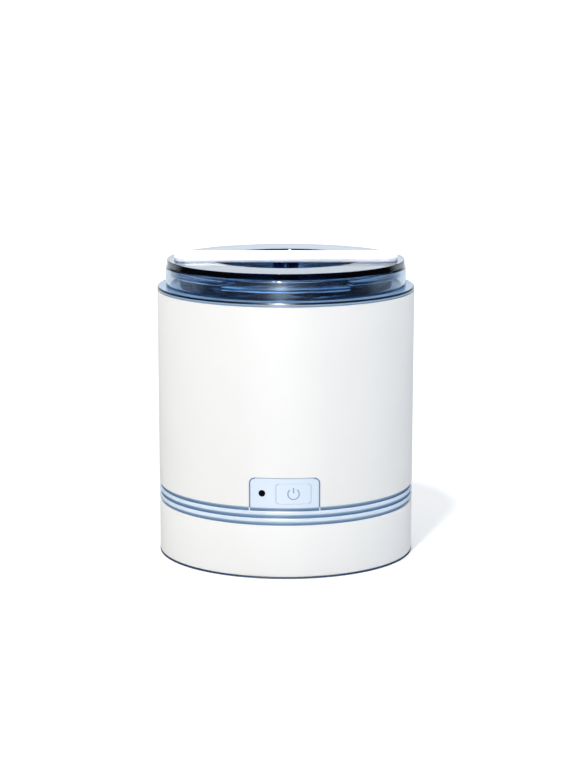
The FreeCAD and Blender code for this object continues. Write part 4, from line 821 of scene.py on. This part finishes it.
def dress_frame(frame, mats):
    """Finish for the nodes that show as they are, with softened edges on the larger ones."""
    slots = {row["node"]: row["material_slot"] for row in frame["record"]["subparts"]}
    shapes = {
        "control_panel": 0.22, "power_button": 0.22, "basket": 0.25, "bottom_cover": 0.12,
        "rubber_feet": 0.2, "dc_jack": 0.15,
    }
    for name, node in frame["nodes"].items():
        slot = slots[name]
        node.data.materials.clear()
        node.data.materials.append(mats[slot])
        if node.hide_render:
            continue
        if "custom_normal" in node.data.attributes:
            node.data.attributes.remove(node.data.attributes["custom_normal"])
        node.data.shade_smooth()
        if name in shapes:
            weld = node.modifiers.new("weld", "WELD")
            weld.merge_threshold = 0.000002
            soften(node, shapes[name])


# Stage


def area_light(name, azimuth, elevation, distance, size, power, colour=(1, 1, 1)):
    """Square lamp aimed at the middle of the object; azimuth is counted from the front."""
    data = bpy.data.lights.new(name, "AREA")
    data.shape = "RECTANGLE"
    data.size, data.size_y = size
    data.energy = power
    data.color = colour
    lamp = bpy.data.objects.new(name, data)
    a, e = math.radians(azimuth), math.radians(elevation)
    aim = Vector((0, 0, 0.07))
    back = Vector((math.sin(a) * math.cos(e), -math.cos(a) * math.cos(e), math.sin(e)))
    lamp.location = aim + back * distance
    lamp.rotation_mode = "QUATERNION"
    lamp.rotation_quaternion = (-back).to_track_quat("-Z", "Y")
    lamp.visible_camera = lamp.visible_transmission = False
    bpy.context.scene.collection.objects.link(lamp)
    return lamp


def make_world():
    """White surroundings; for gloss they are brightest behind and dim low in front."""
    world = bpy.data.worlds.new("surroundings")
    bpy.context.scene.world = world
    world.use_nodes = True
    tree = world.node_tree
    nodes, links = tree.nodes, tree.links
    nodes.clear()
    coords = nodes.new("ShaderNodeTexCoord")
    parts = nodes.new("ShaderNodeSeparateXYZ")
    links.new(coords.outputs["Generated"], parts.inputs[0])

    def level(axis, low, high, at_low, at_high):
        """Smooth step of a level along one axis of direction."""
        step = nodes.new("ShaderNodeMapRange")
        step.interpolation_type = "SMOOTHSTEP"
        links.new(parts.outputs[axis], step.inputs["Value"])
        for key, value in (("From Min", low), ("From Max", high), ("To Min", at_low), ("To Max", at_high)):
            step.inputs[key].default_value = value
        return step.outputs[0]

    def light(colour, strength):
        """Background of one colour and level."""
        back = nodes.new("ShaderNodeBackground")
        back.inputs[0].default_value = colour
        if isinstance(strength, bpy.types.NodeSocket):
            links.new(strength, back.inputs[1])
        else:
            back.inputs[1].default_value = strength
        return back

    def mixed(share, a, b):
        """Second background where the share is 1."""
        mix = nodes.new("ShaderNodeMixShader")
        links.new(share, mix.inputs[0])
        links.new(a.outputs[0], mix.inputs[1])
        links.new(b.outputs[0], mix.inputs[2])
        return mix

    path = nodes.new("ShaderNodeLightPath")
    white = light((1, 1, 1, 1), 1.1)
    left = light((1, 1, 1, 1), AMBIENT)
    right = light((0.79, 0.9, 1.04, 1), AMBIENT * 0.97)
    soft = mixed(level(0, 0.1, 0.95, 0.0, 1.0), left, right)
    shine = mixed(level(1, 0.88, 0.97, 0.0, 1.0), light((0.3, 0.58, 1.0, 1), 0.2), light((0.87, 0.94, 1.0, 1), 1.4))
    through = light((0.84, 0.92, 1.0, 1), level(1, -0.5, 0.5, 0.1, 1.42))
    first = mixed(path.outputs["Is Glossy Ray"], soft, shine)
    second = mixed(path.outputs["Is Transmission Ray"], first, through)
    third = mixed(path.outputs["Is Camera Ray"], second, white)
    out = nodes.new("ShaderNodeOutputWorld")
    links.new(third.outputs[0], out.inputs["Surface"])


def make_floor():
    """Wide white floor that burns out to white but keeps the object's shadow."""
    mesh = bpy.data.meshes.new("floor")
    mesh.from_pydata([(-6, -3, 0), (6, -3, 0), (6, 14, 0), (-6, 14, 0)], [], [[0, 1, 2, 3]])
    floor = bpy.data.objects.new("floor", mesh)
    bpy.context.scene.collection.objects.link(floor)
    s = Shader("white_floor")
    s.tree.nodes.remove(s.bsdf)
    plain = s.add("ShaderNodeBsdfDiffuse", Color=(0.80, 0.80, 0.80, 1))
    seen = s.add("ShaderNodeBsdfDiffuse", Color=FLOOR_SEEN)
    radius, height, angle = s.axes()
    far = s.add("ShaderNodeMapRange")
    s.feed(far.inputs["Value"], radius)
    for key, value in (("From Min", 0.16), ("From Max", 0.7), ("To Min", FLOOR_GLOW), ("To Max", FLOOR_FAR_GLOW)):
        far.inputs[key].default_value = value
    glow = s.add("ShaderNodeEmission", Color=(1, 1, 1, 1))
    s.feed(glow.inputs["Strength"], far.outputs[0])
    both = s.add("ShaderNodeAddShader")
    s.feed(both.inputs[0], seen.outputs[0])
    s.feed(both.inputs[1], glow.outputs[0])
    parts = s.add("ShaderNodeSeparateXYZ")
    s.feed(parts.inputs[0], s.coords)

    def behind(low, high):
        """Pale glow that starts between two places behind the object."""
        step = s.add("ShaderNodeMapRange")
        s.feed(step.inputs["Value"], parts.outputs[1])
        for key, value in (("From Min", low), ("From Max", high), ("To Min", 0.03), ("To Max", 1.0)):
            step.inputs[key].default_value = value
        pale = s.add("ShaderNodeEmission", Color=(0.86, 0.93, 1.0, 1))
        s.feed(pale.inputs["Strength"], step.outputs[0])
        return pale

    path = s.add("ShaderNodeLightPath")

    def mixed(share, a, b):
        mix = s.add("ShaderNodeMixShader")
        s.feed(mix.inputs[0], share)
        s.feed(mix.inputs[1], a.outputs[0])
        s.feed(mix.inputs[2], b.outputs[0])
        return mix

    first = mixed(path.outputs["Is Glossy Ray"], plain, behind(0.45, 0.7))
    second = mixed(path.outputs["Is Transmission Ray"], first, behind(-0.12, 0.1))
    third = mixed(path.outputs["Is Camera Ray"], second, both)
    s.feed(s.out.inputs["Surface"], third.outputs[0])
    mesh.materials.append(s.material)


def make_camera():
    """Long lens a little above the object."""
    data = bpy.data.cameras.new("camera")
    data.lens = 108.212
    data.sensor_width = 36
    data.shift_x = 0.00283
    data.clip_start, data.clip_end = 0.05, 30
    camera = bpy.data.objects.new("camera", data)
    camera.location = (0, -1.03293, 0.26729)
    camera.rotation_euler = (math.radians(79.506), 0, 0)
    bpy.context.scene.collection.objects.link(camera)
    bpy.context.scene.camera = camera


def main():
    """Build the scene."""
    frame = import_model()
    mats = make_materials()
    make_body(mats)
    make_front_lines(mats)
    make_sign(mats)
    make_collar(mats)
    make_tank(mats)
    make_lid(mats)
    dress_frame(frame, mats)
    make_world()
    make_floor()
    area_light("key", -15.5, 54.0, 3.0, (0.16, 0.16), KEY_POWER)
    strip = area_light("strip", -6.0, 22.0, 1.8, (0.06, 1.3), STRIP_POWER)
    strip.visible_diffuse = False
    make_camera()
    bpy.context.scene.view_settings.view_transform = "Standard"


main()
